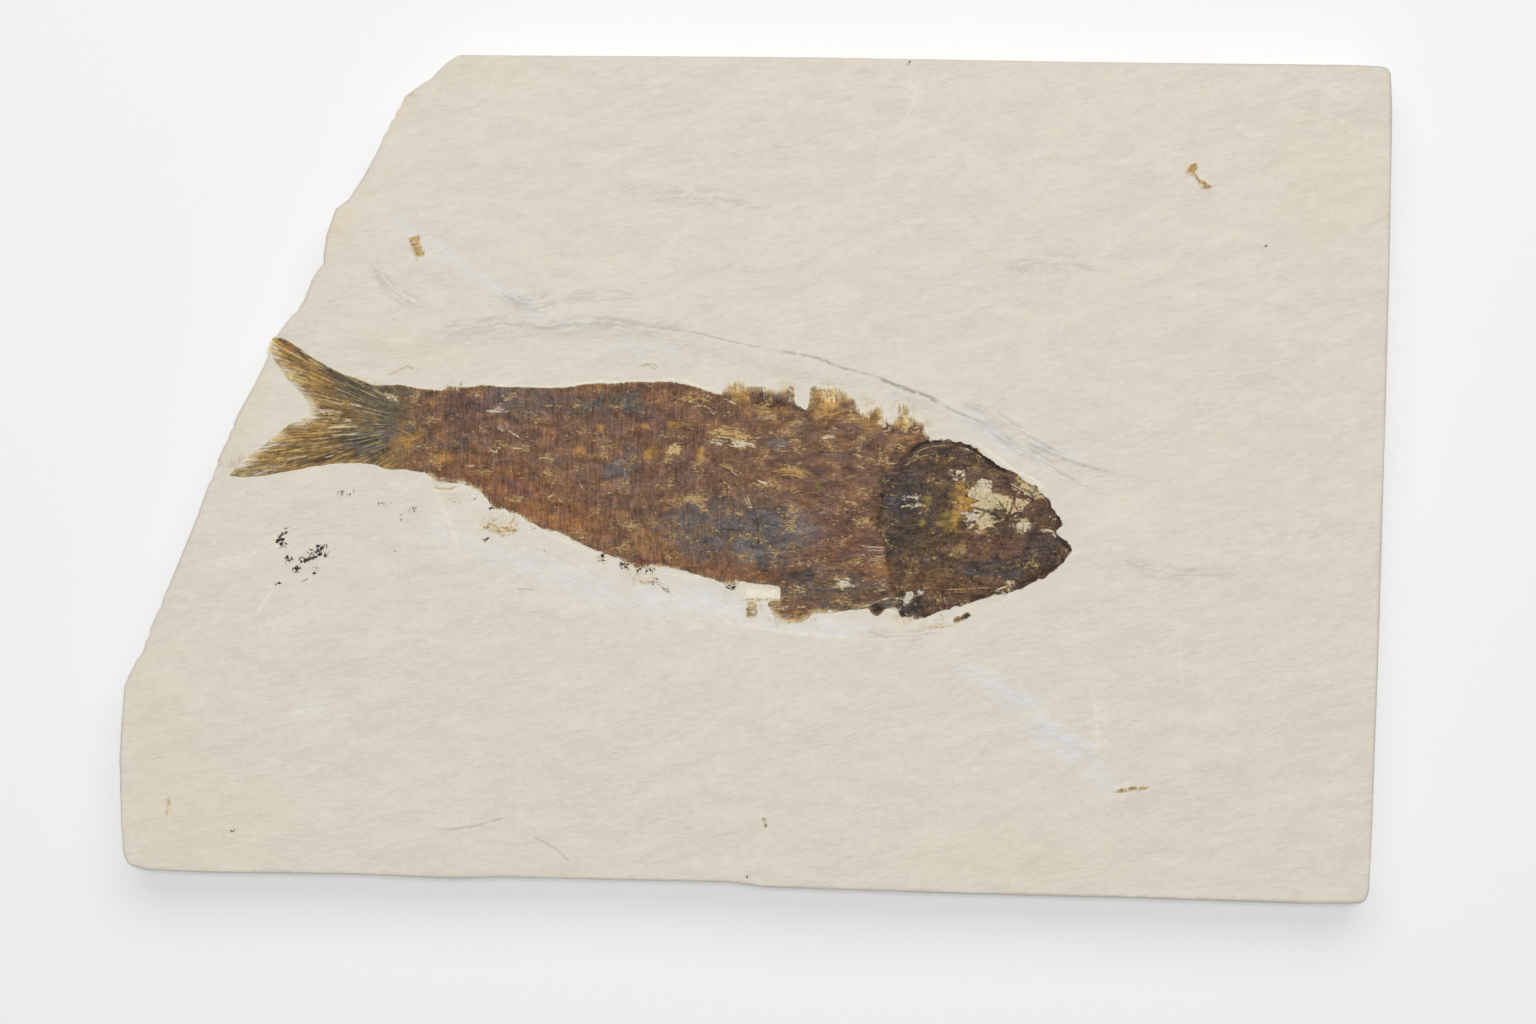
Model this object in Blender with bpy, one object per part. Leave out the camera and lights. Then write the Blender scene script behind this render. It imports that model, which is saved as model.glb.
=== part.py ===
"""A prepared fossil fish on its slab of thin-bedded limestone, lying on its flat back.

The slab was sawn on three sides and broken along the bedding on the fourth, where
the break cuts off the tip of the tail. The fish is a pressed film of bone and scale,
freed by scraping a shallow basin in the stone round it. A few loose flakes of bone
and scale lie in the stone beside it.

Lengths in the outlines and constants are millimetres, and MM turns them into metres.
The frame's origin is the middle of the slab's underside, with +X towards the fish's
head, +Y towards its back and +Z up out of the stone.
"""

import bpy
import numpy as np
from mathutils.geometry import delaunay_2d_cdt

MM = 0.001

# Slab
SLAB_THICKNESS = 10.0
ARRIS_INSET = 0.7
ARRIS_DROP = 0.6
FOOT_INSET = 0.8
FOOT_HEIGHT = 0.9
WALL_SPACING = 3.0
FACE_SPACING = 3.6
LEDGE_DEPTH = 0.9
LEDGE_TREAD = 0.3
LEDGE_HEIGHTS = (3.3, 6.3)
BASIN_DEPTH = 0.45
BASIN_RIM = 2.6
BASIN_ENDS = (-56.0, 58.0)
BASIN_TAPER = 12.0
RIM_SPACING = 3.2
WAVE_HEIGHT = 0.11
FACE_CLEARANCE = 1.6
RIM_CLEARANCE = 2.0
CUTTER_TOP = SLAB_THICKNESS + 2.0

# Fish and flakes, as heights over the stone beside them
FILM_EDGE = 0.28
BODY_DOME = 0.55
BODY_DOME_REACH = 7.0
HEAD_STEP = 0.30
HEAD_DOME = 0.22
HEAD_DOME_REACH = 5.0
HEAD_EDGE = 0.8
ORBIT_DEPTH = 0.40
JAW_GROOVE_DEPTH = 0.25
RAY_HEIGHT = 0.22
RAY_EDGE = 0.6
FLAKE_HEIGHT = 0.22
FISH_SPACING = 2.1
FISH_CLEARANCE = 0.9
HEAD_SPACING = 1.5
HEAD_CLEARANCE = 0.6
SHARP_ANGLE = 18.0
FISH_UNDERSIDE = SLAB_THICKNESS - 1.0
FLAKE_SEAT = 0.3
FLAKE_SPACING = 0.55
FLAKE_CLEARANCE = 0.2
GAP = 0.3

# Meshing: how far a sharp corner's offset may stretch, and when two points are one
MITRE_FLOOR = 0.6
SAME_POINT = 1e-6

# Preview colours, as linear red, green and blue
BUFF = (0.68, 0.61, 0.52)
BROWN = (0.11, 0.065, 0.04)
OCHRE = (0.35, 0.22, 0.09)

# The slab's sides, clockwise seen from above. The three sawn sides are nearly straight.
TOP_SIDE = [(-41.6, 59.6), (4.8, 59.3), (48.3, 58.6), (84.1, 58.2), (87.9, 58.0), (88.8, 57.7)]
RIGHT_SIDE = [
    (89.2, 56.9), (89.4, 51.6), (89.0, 29.7), (87.7, -16.9), (86.6, -48.2), (86.1, -58.0),
    (85.7, -59.1),
]
BOTTOM_SIDE = [
    (84.9, -59.6), (76.4, -59.6), (55.3, -58.9), (27.2, -58.2), (1.3, -57.3), (-3.6, -56.6),
    (-35.9, -55.9), (-42.9, -56.1), (-56.3, -55.5), (-78.0, -55.2), (-85.9, -54.8), (-88.2, -54.1),
]
LEFT_SIDE = [(-88.9, -52.4), (-89.2, -47.4), (-89.4, -39.2), (-89.1, -34.0), (-88.7, -29.0)]
BROKEN_SIDE = [
    (-88.1, -27.6), (-86.0, -23.5), (-85.3, -21.5), (-83.9, -18.3), (-81.4, -12.4), (-78.6, -5.5),
    (-75.9, 1.9), (-72.6, 9.5), (-70.6, 13.0), (-68.8, 16.6), (-68.3, 18.0), (-67.3, 20.2),
    (-65.9, 22.1), (-63.5, 25.0), (-62.4, 28.0), (-60.8, 30.4), (-60.7, 31.8), (-60.3, 34.3),
    (-59.0, 38.0), (-57.2, 39.3), (-55.1, 42.5), (-53.6, 45.3), (-52.7, 47.0), (-52.2, 48.5),
    (-50.7, 51.4), (-49.9, 52.3), (-49.4, 53.7), (-47.9, 54.8), (-45.5, 56.4), (-44.0, 58.0),
    (-42.9, 58.9),
]

# The fish's outline, clockwise seen from above, from the broken tip of the tail's upper lobe.
UPPER_LOBE = [
    (-67.3, 20.2), (-64.8, 19.0), (-62.7, 17.4), (-60.5, 16.0), (-58.0, 14.8), (-55.3, 13.8),
    (-53.5, 13.1), (-50.2, 13.3), (-48.5, 12.9), (-46.5, 12.6), (-44.2, 12.5),
]
BACK = [
    (-43.6, 13.4), (-41.0, 13.0), (-38.3, 13.2), (-35.5, 12.9), (-30.3, 12.8), (-26.9, 12.8),
    (-24.4, 13.2), (-22.2, 13.4), (-19.8, 13.3), (-18.4, 13.6), (-14.2, 13.6), (-12.3, 13.7),
    (-10.2, 13.4), (-8.2, 12.8), (-6.5, 12.2), (-4.8, 11.8),
]
DORSAL_FIN = [
    (-4.2, 13.7), (-2.9, 14.0), (-1.7, 13.8), (-1.1, 12.4), (0.9, 13.2), (2.3, 13.0),
    (3.4, 12.4), (4.8, 12.6), (5.6, 11.7), (5.2, 10.6), (6.6, 9.8), (7.5, 9.0),
    (8.0, 12.4), (9.6, 13.0), (11.5, 13.0), (12.6, 12.1), (13.2, 10.9), (14.3, 9.9),
    (15.8, 9.0), (16.4, 10.2), (17.4, 10.4), (18.3, 9.9), (18.6, 8.2), (19.3, 8.0),
    (19.5, 10.5), (21.3, 10.7), (22.0, 9.2), (23.0, 7.9), (24.0, 6.5),
]
HEAD = [
    (24.9, 5.4), (27.5, 5.4), (28.6, 5.4), (30.8, 4.3), (32.2, 3.3), (33.5, 2.2),
    (36.3, 0.8), (39.0, -0.9), (41.4, -2.9), (41.5, -4.1), (42.9, -5.8), (42.8, -7.0),
    (42.0, -7.5), (43.4, -8.5), (44.2, -9.5), (44.0, -10.6), (42.9, -12.2), (41.4, -13.2),
    (39.3, -14.4), (37.3, -15.4), (34.8, -16.3), (31.7, -17.1), (29.6, -17.6), (26.3, -18.4),
    (23.3, -19.6), (21.8, -19.7), (20.2, -19.3), (19.4, -18.3), (18.6, -18.0),
]
BELLY = [
    (17.3, -19.2), (16.2, -18.9), (15.9, -18.0), (14.6, -18.2), (12.6, -18.6), (10.3, -19.1),
    (8.3, -18.5), (7.3, -19.3), (5.5, -20.1), (3.1, -19.7), (1.8, -18.5), (1.8, -16.9),
    (3.3, -16.4), (3.5, -15.0), (0.7, -14.7), (-2.0, -14.3), (-2.7, -15.4), (-3.7, -15.5),
    (-5.0, -14.2), (-7.4, -13.6), (-9.7, -12.9), (-11.6, -12.5), (-14.4, -12.4), (-16.5, -12.9),
    (-18.9, -11.6), (-20.8, -10.9), (-22.2, -10.0), (-24.1, -9.3), (-26.0, -8.5), (-27.7, -7.6),
    (-31.8, -6.4), (-33.5, -5.7), (-36.9, -4.4), (-37.9, -3.2), (-39.4, -1.8), (-40.9, -1.1),
    (-43.1, -0.7), (-45.2, -0.4), (-46.0, 0.5), (-47.4, 1.0), (-49.2, 1.5), (-51.4, 1.4),
    (-52.6, 1.7),
]
LOWER_LOBE = [
    (-53.9, 2.2), (-58.0, 2.3), (-60.3, 2.1), (-65.2, 1.2), (-69.7, 0.2), (-74.7, 0.0),
]
TAIL_FORK = [
    (-72.7, 1.8), (-71.3, 3.1), (-68.8, 4.8), (-66.6, 6.3), (-64.4, 7.9), (-62.4, 8.6),
    (-62.1, 9.5), (-62.7, 11.2), (-64.5, 12.7), (-66.0, 14.2), (-66.7, 15.5), (-68.1, 17.0),
    (-68.4, 18.2),
]
FISH_OUTLINE = UPPER_LOBE + BACK + DORSAL_FIN + HEAD + BELLY + LOWER_LOBE + TAIL_FORK

# Where the tail's rays spread from, and how they spread
RAY_ROOT = (-45.0, 7.4)
RAY_ANGLES = (146.0, 196.0)
RAY_COUNT = 14
RAY_RADII = (8.0, 11.0, 14.0, 17.0, 20.0, 23.0, 26.0, 28.5)
RAY_CLEARANCE = 0.45
TAIL_END = -50.5
TAIL_BLEND = 4.0

# The rear edge of the gill cover, from top to bottom, as x at each y
GILL_EDGE = [(23.7, 5.5), (19.9, 2.5), (17.4, -2.9), (17.3, -5.7), (18.3, -11.6), (19.8, -17.5)]
GILL_STEP = (-0.3, 0.8)
GILL_SPACING = 1.5
GILL_CLEARANCE = 0.5
PLATE_CLEARANCE = 0.675
ORBIT_CENTRE = (34.0, -4.6)
ORBIT_RADII = (3.6, 2.4)
JAW_LINE = [(42.5, -7.4), (34.0, -8.6)]
JAW_GROOVE_WIDTH = 0.9
JAW_GROOVE_START = 2.0

# The rims of the scraped basin above and below the fish, from left to right
BASIN_UPPER_RIM = [
    (-56.0, 17.0), (-44.3, 20.5), (-30.3, 22.1), (-16.3, 21.7), (2.3, 16.8), (17.7, 14.0),
    (25.6, 11.0), (36.2, 6.5), (45.6, 2.9), (58.0, 0.0),
]
BASIN_LOWER_RIM = [
    (-56.0, 0.0), (-45.7, -3.5), (-38.7, -9.2), (-31.7, -11.3), (-21.9, -14.1), (-7.9, -19.4),
    (4.2, -21.4), (17.7, -22.5), (25.0, -22.0), (34.3, -19.2), (45.0, -16.5), (58.0, -15.0),
]

# The broken side's line, as a point and a direction out of the stone, and its beds
BREAK_POINT = (-66.0, 15.0)
BREAK_OUTWARD = (-0.905, 0.425)
BREAK_REACH = 6.0
BREAK_FOOT = -29.0
LEDGE_PHASES = (0.4, 2.2, 4.3)
# Each wave of a ledge's edge: share, radians a millimetre along X and along Y, times its phase
LEDGE_WAVES = [(1.0, 0.0, 0.31, 1.0), (0.6, -0.4, 0.83, 2.0)]
LEDGE_SHARPNESS = 0.5

# Long, low swells of the bedding: height share, cycles a metre along X and along Y, phase
SWELLS = [
    (1.0, 9.0, 21.0, 0.4), (0.8, -13.0, 34.0, 1.9), (0.6, 24.0, 47.0, 4.1), (0.5, -31.0, 58.0, 2.6),
    (0.4, 46.0, -39.0, 5.3),
]

# Loose bone and scale, each an outline of its own
FLAKES = {
    "pelvic_fin_remnant": [
        (-1.5, -16.9), (-0.3, -17.0), (0.4, -17.5), (0.4, -18.1), (0.2, -19.3), (-0.7, -19.6),
        (-1.4, -19.5), (-1.5, -18.6),
    ],
    "anal_fin_remnant": [
        (-38.4, -5.4), (-37.3, -5.8), (-36.3, -6.4), (-35.2, -6.5), (-34.1, -6.2), (-33.6, -6.6),
        (-33.2, -7.3), (-34.1, -7.7), (-35.5, -8.1), (-36.5, -7.5), (-38.2, -7.3), (-38.6, -6.1),
    ],
    "throat_bone": [
        (27.6, -20.2), (27.7, -19.5), (28.2, -19.1), (28.7, -19.2), (29.4, -18.5), (30.0, -18.6),
        (30.4, -19.0), (30.0, -19.5), (29.2, -19.9), (28.2, -20.2),
    ],
    "flake_above_back": [
        (-16.3, 16.1), (-15.6, 16.5), (-14.9, 16.6), (-14.2, 16.4), (-13.7, 16.1), (-14.0, 15.6),
        (-14.3, 15.2), (-14.7, 15.8), (-15.2, 16.0), (-15.7, 15.8),
    ],
    "flake_upper_left": [
        (-47.1, 34.7), (-46.9, 33.9), (-47.1, 33.4), (-46.7, 32.8), (-46.2, 31.2), (-47.2, 31.3),
        (-47.6, 30.4), (-47.9, 31.4), (-48.4, 32.4), (-48.8, 33.5), (-48.7, 34.0), (-47.8, 34.3),
    ],
    "scale_pair_upper_right": [
        (60.0, 43.4), (61.0, 44.3), (61.9, 44.6), (62.2, 43.8), (61.8, 42.9), (62.5, 42.2),
        (63.6, 41.6), (64.3, 41.1), (63.3, 40.5), (62.6, 40.6), (62.0, 41.7), (61.5, 42.4),
        (60.9, 42.7), (60.1, 43.0),
    ],
    "sliver_lower_right": [
        (50.0, -43.7), (51.1, -43.3), (52.2, -43.1), (53.2, -43.0), (54.2, -42.9), (55.3, -43.1),
        (55.2, -43.5), (53.9, -43.7), (52.5, -43.8), (51.5, -44.1), (50.4, -44.0),
    ],
    "flake_low_centre": [
        (0.6, -47.4), (1.2, -47.3), (1.7, -47.4), (1.5, -47.9), (1.7, -48.5), (1.6, -49.0),
        (1.0, -48.9), (0.9, -48.2), (0.8, -47.8),
    ],
}


def smooth_step(value, low, high):
    """0 below low, 1 above high, and an S-curve between."""
    share = np.clip((value - low) / (high - low), 0.0, 1.0)
    return share * share * (3.0 - 2.0 * share)


def ring_normals(loop):
    """Outward directions at the points of a clockwise loop, long enough to keep an even offset."""
    along = np.roll(loop, -1, axis=0) - loop
    along /= np.linalg.norm(along, axis=1)[:, None]
    outward = np.column_stack([-along[:, 1], along[:, 0]])
    mean = outward + np.roll(outward, 1, axis=0)
    mean /= np.linalg.norm(mean, axis=1)[:, None]
    return mean / np.maximum((mean * outward).sum(axis=1), MITRE_FLOOR)[:, None]


def offset(loop, distance):
    """The loop moved outwards by the distance, or inwards where it is negative."""
    return loop + ring_normals(loop) * np.reshape(distance, (-1, 1))


def with_spacing(loop, spacing):
    """The loop with points added, so that no two neighbours lie further apart than the spacing."""
    ends = np.roll(loop, -1, axis=0)
    counts = np.ceil(np.linalg.norm(ends - loop, axis=1) / spacing).astype(int)
    runs = [
        start + (end - start) * np.arange(count)[:, None] / count
        for start, end, count in zip(loop, ends, counts)
    ]
    return np.concatenate(runs)


def distance_to(points, loop):
    """Each point's distance to the nearest stretch of the closed loop."""
    along = np.roll(loop, -1, axis=0) - loop
    to_point = points[:, None, :] - loop[None, :, :]
    share = (to_point * along).sum(axis=2) / (along * along).sum(axis=1)
    nearest = to_point - np.clip(share, 0.0, 1.0)[:, :, None] * along
    return np.linalg.norm(nearest, axis=2).min(axis=1)


def is_inside(points, loop):
    """True for each point inside the closed loop, by counting the sides that a ray to +X crosses."""
    ends = np.roll(loop, -1, axis=0)
    x, y = points[:, :1], points[:, 1:]
    rise = ends[:, 1] - loop[:, 1]
    level = np.where(rise == 0.0, 1.0, rise)
    spans = (loop[:, 1] > y) != (ends[:, 1] > y)
    crossing_x = loop[:, 0] + (y - loop[:, 1]) * (ends[:, 0] - loop[:, 0]) / level
    return ((spans & (x < crossing_x)).sum(axis=1) % 2).astype(bool)


def filling(loop, spacing, clearance):
    """Points in rows, offset like bricks, that fill the loop and stay clear of its edge."""
    low, high = loop.min(axis=0), loop.max(axis=0)
    row_height = spacing * np.sin(np.radians(60.0))
    rows = np.arange(low[1], high[1], row_height)
    columns = np.arange(low[0], high[0] + spacing, spacing)
    x = columns[None, :] + (np.arange(len(rows)) % 2)[:, None] * spacing / 2
    points = np.column_stack([x.ravel(), np.repeat(rows, len(columns))])
    points = points[is_inside(points, loop)]
    return points[distance_to(points, loop) > clearance]


def triangles_inside(loop, inner):
    """Triangles over the loop's own points followed by the inner ones."""
    count = len(loop)
    edges = [(i, (i + 1) % count) for i in range(count)]
    points = [tuple(p) for p in np.concatenate([loop, inner]).tolist()]
    made = delaunay_2d_cdt(points, edges, [list(range(count))], 1, SAME_POINT)
    return [tuple(made[3][i][0] for i in face) for face in made[2]]


def swell(x, y):
    """Height of the bedding's long swells, as a sum of sine waves."""
    height = np.zeros_like(x)
    for share, across, up, phase in SWELLS:
        height += share * np.sin(2.0 * np.pi * (across * x + up * y) * MM + phase)
    return WAVE_HEIGHT * height


def basin(x, y):
    """1 on the floor of the scraped basin round the fish, 0 outside its rims."""
    upper = np.interp(x, *np.transpose(BASIN_UPPER_RIM))
    lower = np.interp(x, *np.transpose(BASIN_LOWER_RIM))
    across = smooth_step(upper - y, 0.0, BASIN_RIM) * smooth_step(y - lower, 0.0, BASIN_RIM)
    left, right = BASIN_ENDS
    return across * smooth_step(x - left, 0.0, BASIN_TAPER) * smooth_step(right - x, 0.0, BASIN_TAPER)


def stone_height(x, y):
    """Height of the slab's split face."""
    return SLAB_THICKNESS + swell(x, y) - BASIN_DEPTH * basin(x, y)


def basin_rim_points():
    """Points along the top and the foot of the basin's two rims."""
    x = np.arange(BASIN_ENDS[0] + RIM_SPACING, BASIN_ENDS[1], RIM_SPACING)
    upper = np.interp(x, *np.transpose(BASIN_UPPER_RIM))
    lower = np.interp(x, *np.transpose(BASIN_LOWER_RIM))
    rows = (upper, upper - BASIN_RIM, lower + BASIN_RIM, lower)
    return np.concatenate([np.column_stack([x, row]) for row in rows])


def clear_of(points, others, clearance):
    """The points that lie no nearer than the clearance to any of the others."""
    apart = np.linalg.norm(points[:, None, :] - others[None, :, :], axis=2)
    return points[apart.min(axis=1) > clearance]


def tail_rays(x, y):
    """1 on each crest of the tail's rays and 0 in the valleys between them."""
    angle = np.degrees(np.arctan2(y - RAY_ROOT[1], x - RAY_ROOT[0])) % 360.0
    turn = (angle - RAY_ANGLES[0]) / (RAY_ANGLES[1] - RAY_ANGLES[0]) * (RAY_COUNT - 1)
    return 0.5 + 0.5 * np.cos(2.0 * np.pi * turn)


def head_share(x, y):
    """1 in front of the gill cover's rear edge, 0 behind it."""
    edge_x, edge_y = np.transpose(GILL_EDGE[::-1])
    return smooth_step(x - np.interp(y, edge_y, edge_x), *GILL_STEP)


def gill_step_points():
    """Points along the foot and the top of the step at the gill cover's rear edge."""
    edge_x, edge_y = np.transpose(GILL_EDGE[::-1])
    y = np.arange(edge_y[0] + GILL_SPACING, edge_y[-1], GILL_SPACING)
    x = np.interp(y, edge_y, edge_x)
    return np.concatenate([np.column_stack([x + shift, y]) for shift in GILL_STEP])


def fish_relief(points, loop):
    """Height of the pressed fish over the stone beside it."""
    x, y = points.T
    depth = distance_to(points, loop)
    tail = smooth_step(TAIL_END - x, 0.0, TAIL_BLEND)
    head = head_share(x, y)
    body = BODY_DOME * smooth_step(depth, 0.0, BODY_DOME_REACH) * (1.0 - tail)
    plates = head * (HEAD_STEP + HEAD_DOME * smooth_step(depth, 0.0, HEAD_DOME_REACH))
    plates *= smooth_step(depth, 0.0, HEAD_EDGE)
    across = (x - ORBIT_CENTRE[0]) / ORBIT_RADII[0]
    up = (y - ORBIT_CENTRE[1]) / ORBIT_RADII[1]
    orbit = ORBIT_DEPTH * np.exp(-(across**2 + up**2))
    (front_x, front_y), (rear_x, rear_y) = JAW_LINE
    jaw_y = rear_y + (x - rear_x) * (front_y - rear_y) / (front_x - rear_x)
    groove = np.exp(-(((y - jaw_y) / JAW_GROOVE_WIDTH) ** 2))
    groove *= smooth_step(x - rear_x, 0.0, JAW_GROOVE_START)
    rays = RAY_HEIGHT * tail_rays(x, y) * tail * smooth_step(depth, 0.0, RAY_EDGE)
    return FILM_EDGE + body + plates + rays - orbit - JAW_GROOVE_DEPTH * groove


def ray_points(loop):
    """Points along the crests and valleys of the tail's rays."""
    angles = np.radians(np.linspace(*RAY_ANGLES, 2 * RAY_COUNT - 1))[:, None]
    radii = np.array(RAY_RADII)[None, :]
    x = RAY_ROOT[0] + radii * np.cos(angles)
    y = RAY_ROOT[1] + radii * np.sin(angles)
    points = np.column_stack([x.ravel(), y.ravel()])
    points = points[is_inside(points, loop) & (points[:, 0] < TAIL_END)]
    return points[distance_to(points, loop) > RAY_CLEARANCE]


def make_material(name, colour, roughness):
    material = bpy.data.materials.new(name)
    material.use_nodes = True
    shader = material.node_tree.nodes["Principled BSDF"]
    shader.inputs["Base Color"].default_value = (*colour, 1.0)
    shader.inputs["Roughness"].default_value = roughness
    shader.inputs["Metallic"].default_value = 0.0
    return material


def make_object(name, points, faces, material):
    mesh = bpy.data.meshes.new(name)
    mesh.from_pydata((np.asarray(points) * MM).tolist(), [], faces)
    if material is not None:
        mesh.materials.append(material)
    made = bpy.data.objects.new(name, mesh)
    bpy.context.scene.collection.objects.link(made)
    return made


def stacked_solid(rings, top_inner, top_height, bottom_inner):
    """Points and faces of a solid whose walls join rings of like count, closed above and below."""
    count = len(rings[0])
    top_loop, bottom_loop = rings[-1][:, :2], rings[0][:, :2]
    faces = []
    for level in range(len(rings) - 1):
        low, high = level * count, (level + 1) * count
        for i in range(count):
            j = (i + 1) % count
            faces.append((low + i, high + i, high + j, low + j))
    points = list(rings)
    top_base = (len(rings) - 1) * count
    inner_base = len(rings) * count
    points.append(np.column_stack([top_inner, top_height]))
    for face in triangles_inside(top_loop, top_inner):
        faces.append(tuple(top_base + i if i < count else inner_base + i - count for i in face))
    for face in triangles_inside(bottom_loop, bottom_inner):
        faces.append(tuple(reversed(face)))
    return np.concatenate(points), faces


def level_ring(loop, height):
    return np.column_stack([loop, np.broadcast_to(height, len(loop))])


def make_prism(name, loop, bottom, top):
    """A cutter with upright walls."""
    nothing = np.empty((0, 2))
    rings = [level_ring(loop, bottom), level_ring(loop, top)]
    points, faces = stacked_solid(rings, nothing, np.empty(0), nothing)
    prism = make_object(name, points, faces, None)
    prism.hide_render = True
    prism.display_type = "WIRE"
    return prism


def cut(target, cutter):
    modifier = target.modifiers.new(cutter.name, "BOOLEAN")
    modifier.operation = "DIFFERENCE"
    modifier.solver = "EXACT"
    modifier.object = cutter


def ledge_share(x, y, phase):
    """How far a bed is broken back along the slab's side, from 0 to 1, with long flats between."""
    wander = np.zeros_like(x)
    for share, along_x, along_y, times in LEDGE_WAVES:
        wander += share * np.sin(along_x * x + along_y * y + times * phase)
    return smooth_step(wander, -LEDGE_SHARPNESS, LEDGE_SHARPNESS)


def make_slab():
    """The limestone: sawn sides, one broken side with ledges, worn arrises and a flat back."""
    sawn = with_spacing(np.array(TOP_SIDE + RIGHT_SIDE + BOTTOM_SIDE + LEFT_SIDE + BROKEN_SIDE),
                        WALL_SPACING)
    x, y = sawn.T
    outward = (x - BREAK_POINT[0]) * BREAK_OUTWARD[0] + (y - BREAK_POINT[1]) * BREAK_OUTWARD[1]
    broken = smooth_step(outward, -BREAK_REACH, -BREAK_REACH / 2)
    broken *= smooth_step(y - BREAK_FOOT, 0.0, BREAK_REACH)
    insets = [LEDGE_DEPTH * broken * ledge_share(x, y, phase) for phase in LEDGE_PHASES]
    low, high = LEDGE_HEIGHTS
    walls = [
        (0.0, FOOT_INSET * (1.0 + broken)),
        (FOOT_HEIGHT, insets[0]),
        (low, insets[0]),
        (low + LEDGE_TREAD, insets[1]),
        (high, insets[1]),
        (high + LEDGE_TREAD, insets[2]),
    ]
    rings = [level_ring(offset(sawn, -inset), height) for height, inset in walls]
    rings.append(level_ring(sawn, SLAB_THICKNESS - ARRIS_DROP))
    top_loop = offset(sawn, -ARRIS_INSET)
    rings.append(np.column_stack([top_loop, stone_height(*top_loop.T)]))
    rim = basin_rim_points()
    inner = clear_of(filling(top_loop, FACE_SPACING, FACE_CLEARANCE), rim, RIM_CLEARANCE)
    inner = np.concatenate([inner, rim])
    points, faces = stacked_solid(rings, inner, stone_height(*inner.T), np.empty((0, 2)))
    stone = make_material("buff_limestone", BUFF, 0.85)
    return make_object("limestone_slab", points, faces, stone)


def make_fish():
    """The pressed fish, with a level underside in the slab's pocket and low relief above."""
    loop = np.array(FISH_OUTLINE)
    gill = gill_step_points()
    gill = gill[is_inside(gill, loop)]
    gill = gill[distance_to(gill, loop) > GILL_CLEARANCE]
    body = filling(loop, FISH_SPACING, FISH_CLEARANCE)
    body = body[(body[:, 0] > TAIL_END + FISH_CLEARANCE) & (head_share(*body.T) < 0.5)]
    head = filling(loop, HEAD_SPACING, HEAD_CLEARANCE)
    head = head[head_share(*head.T) >= 0.5]
    plates = clear_of(np.concatenate([body, head]), gill, PLATE_CLEARANCE)
    inner = np.concatenate([plates, ray_points(loop), gill])
    edge_height = stone_height(*loop.T) + FILM_EDGE
    rings = [level_ring(loop, FISH_UNDERSIDE), np.column_stack([loop, edge_height])]
    heights = stone_height(*inner.T) + fish_relief(inner, loop)
    points, faces = stacked_solid(rings, inner, heights, np.empty((0, 2)))
    bone = make_material("bone_and_scale_brown", BROWN, 0.6)
    fish = make_object("fossil_fish", points, faces, bone)
    fish.data.shade_smooth()
    fish.data.set_sharp_from_angle(angle=np.radians(SHARP_ANGLE))
    return fish


def make_fish_pocket():
    loop = offset(np.array(FISH_OUTLINE), GAP)
    return make_prism("fish_pocket", loop, FISH_UNDERSIDE - GAP, CUTTER_TOP)


def make_flake(name, loop, material):
    """A thin flake with a raised middle, set into a shallow pit of its own."""
    middle = loop.mean(axis=0)[None, :]
    seat = stone_height(*middle.T)[0] - FLAKE_SEAT
    rim = stone_height(*loop.T) + FLAKE_HEIGHT / 2
    rings = [level_ring(loop, seat), np.column_stack([loop, rim])]
    inner = filling(loop, FLAKE_SPACING, FLAKE_CLEARANCE)
    heights = stone_height(*inner.T) + FLAKE_HEIGHT
    points, faces = stacked_solid(rings, inner, heights, np.empty((0, 2)))
    made = make_object(name, points, faces, material)
    pit = make_prism(name + "_pit", offset(loop, GAP), seat - GAP, CUTTER_TOP)
    return made, pit


def build():
    for old in list(bpy.data.objects):
        bpy.data.objects.remove(old, do_unlink=True)
    slab = make_slab()
    make_fish()
    cut(slab, make_fish_pocket())
    ochre = make_material("scale_ochre", OCHRE, 0.6)
    for name, outline in FLAKES.items():
        made, pit = make_flake(name, np.array(outline), ochre)
        cut(slab, pit)


build()
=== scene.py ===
"""A fossil fish pressed in its slab of thin-bedded limestone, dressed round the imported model.

Lengths are millimetres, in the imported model's frame: the origin is the middle of the
slab's underside, +X points to the fish's head, +Y to its back and +Z up out of the stone.
MM turns them into metres as each mesh is made.
"""

import bpy
import numpy as np
from mathutils.geometry import delaunay_2d_cdt
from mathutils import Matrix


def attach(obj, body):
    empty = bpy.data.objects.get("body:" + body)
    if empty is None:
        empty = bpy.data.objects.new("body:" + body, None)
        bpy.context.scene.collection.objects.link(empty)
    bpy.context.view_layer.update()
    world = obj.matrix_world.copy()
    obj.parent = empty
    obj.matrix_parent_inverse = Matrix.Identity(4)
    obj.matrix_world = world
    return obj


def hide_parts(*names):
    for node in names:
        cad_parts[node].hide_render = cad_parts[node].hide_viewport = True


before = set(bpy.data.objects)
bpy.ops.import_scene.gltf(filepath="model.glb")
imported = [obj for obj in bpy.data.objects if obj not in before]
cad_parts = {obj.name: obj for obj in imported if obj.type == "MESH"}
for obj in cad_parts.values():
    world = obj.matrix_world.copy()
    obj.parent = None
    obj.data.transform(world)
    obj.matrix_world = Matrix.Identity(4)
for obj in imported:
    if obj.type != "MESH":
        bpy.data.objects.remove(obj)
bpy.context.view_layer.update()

# ---------------------------------------------------------------------------------------
# The limestone slab. A plate of buff, thin-bedded lake limestone: sawn on three sides,
# snapped off along its beds on the fourth, split to a nearly flat face and scraped to a
# shallow basin round the fish. Handling has rounded its upper edges. Their grey is partly
# wear and partly painted shade, strongest towards the lower right, away from the light.
# ---------------------------------------------------------------------------------------
MM = 0.001
SLAB_SIZE = (178.8, 119.2)
SLAB_THICKNESS = 10.0
BASIN_DEPTH = 0.45
BASIN_RIM = 2.6
BASIN_ENDS = (-56.0, 58.0)
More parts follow.
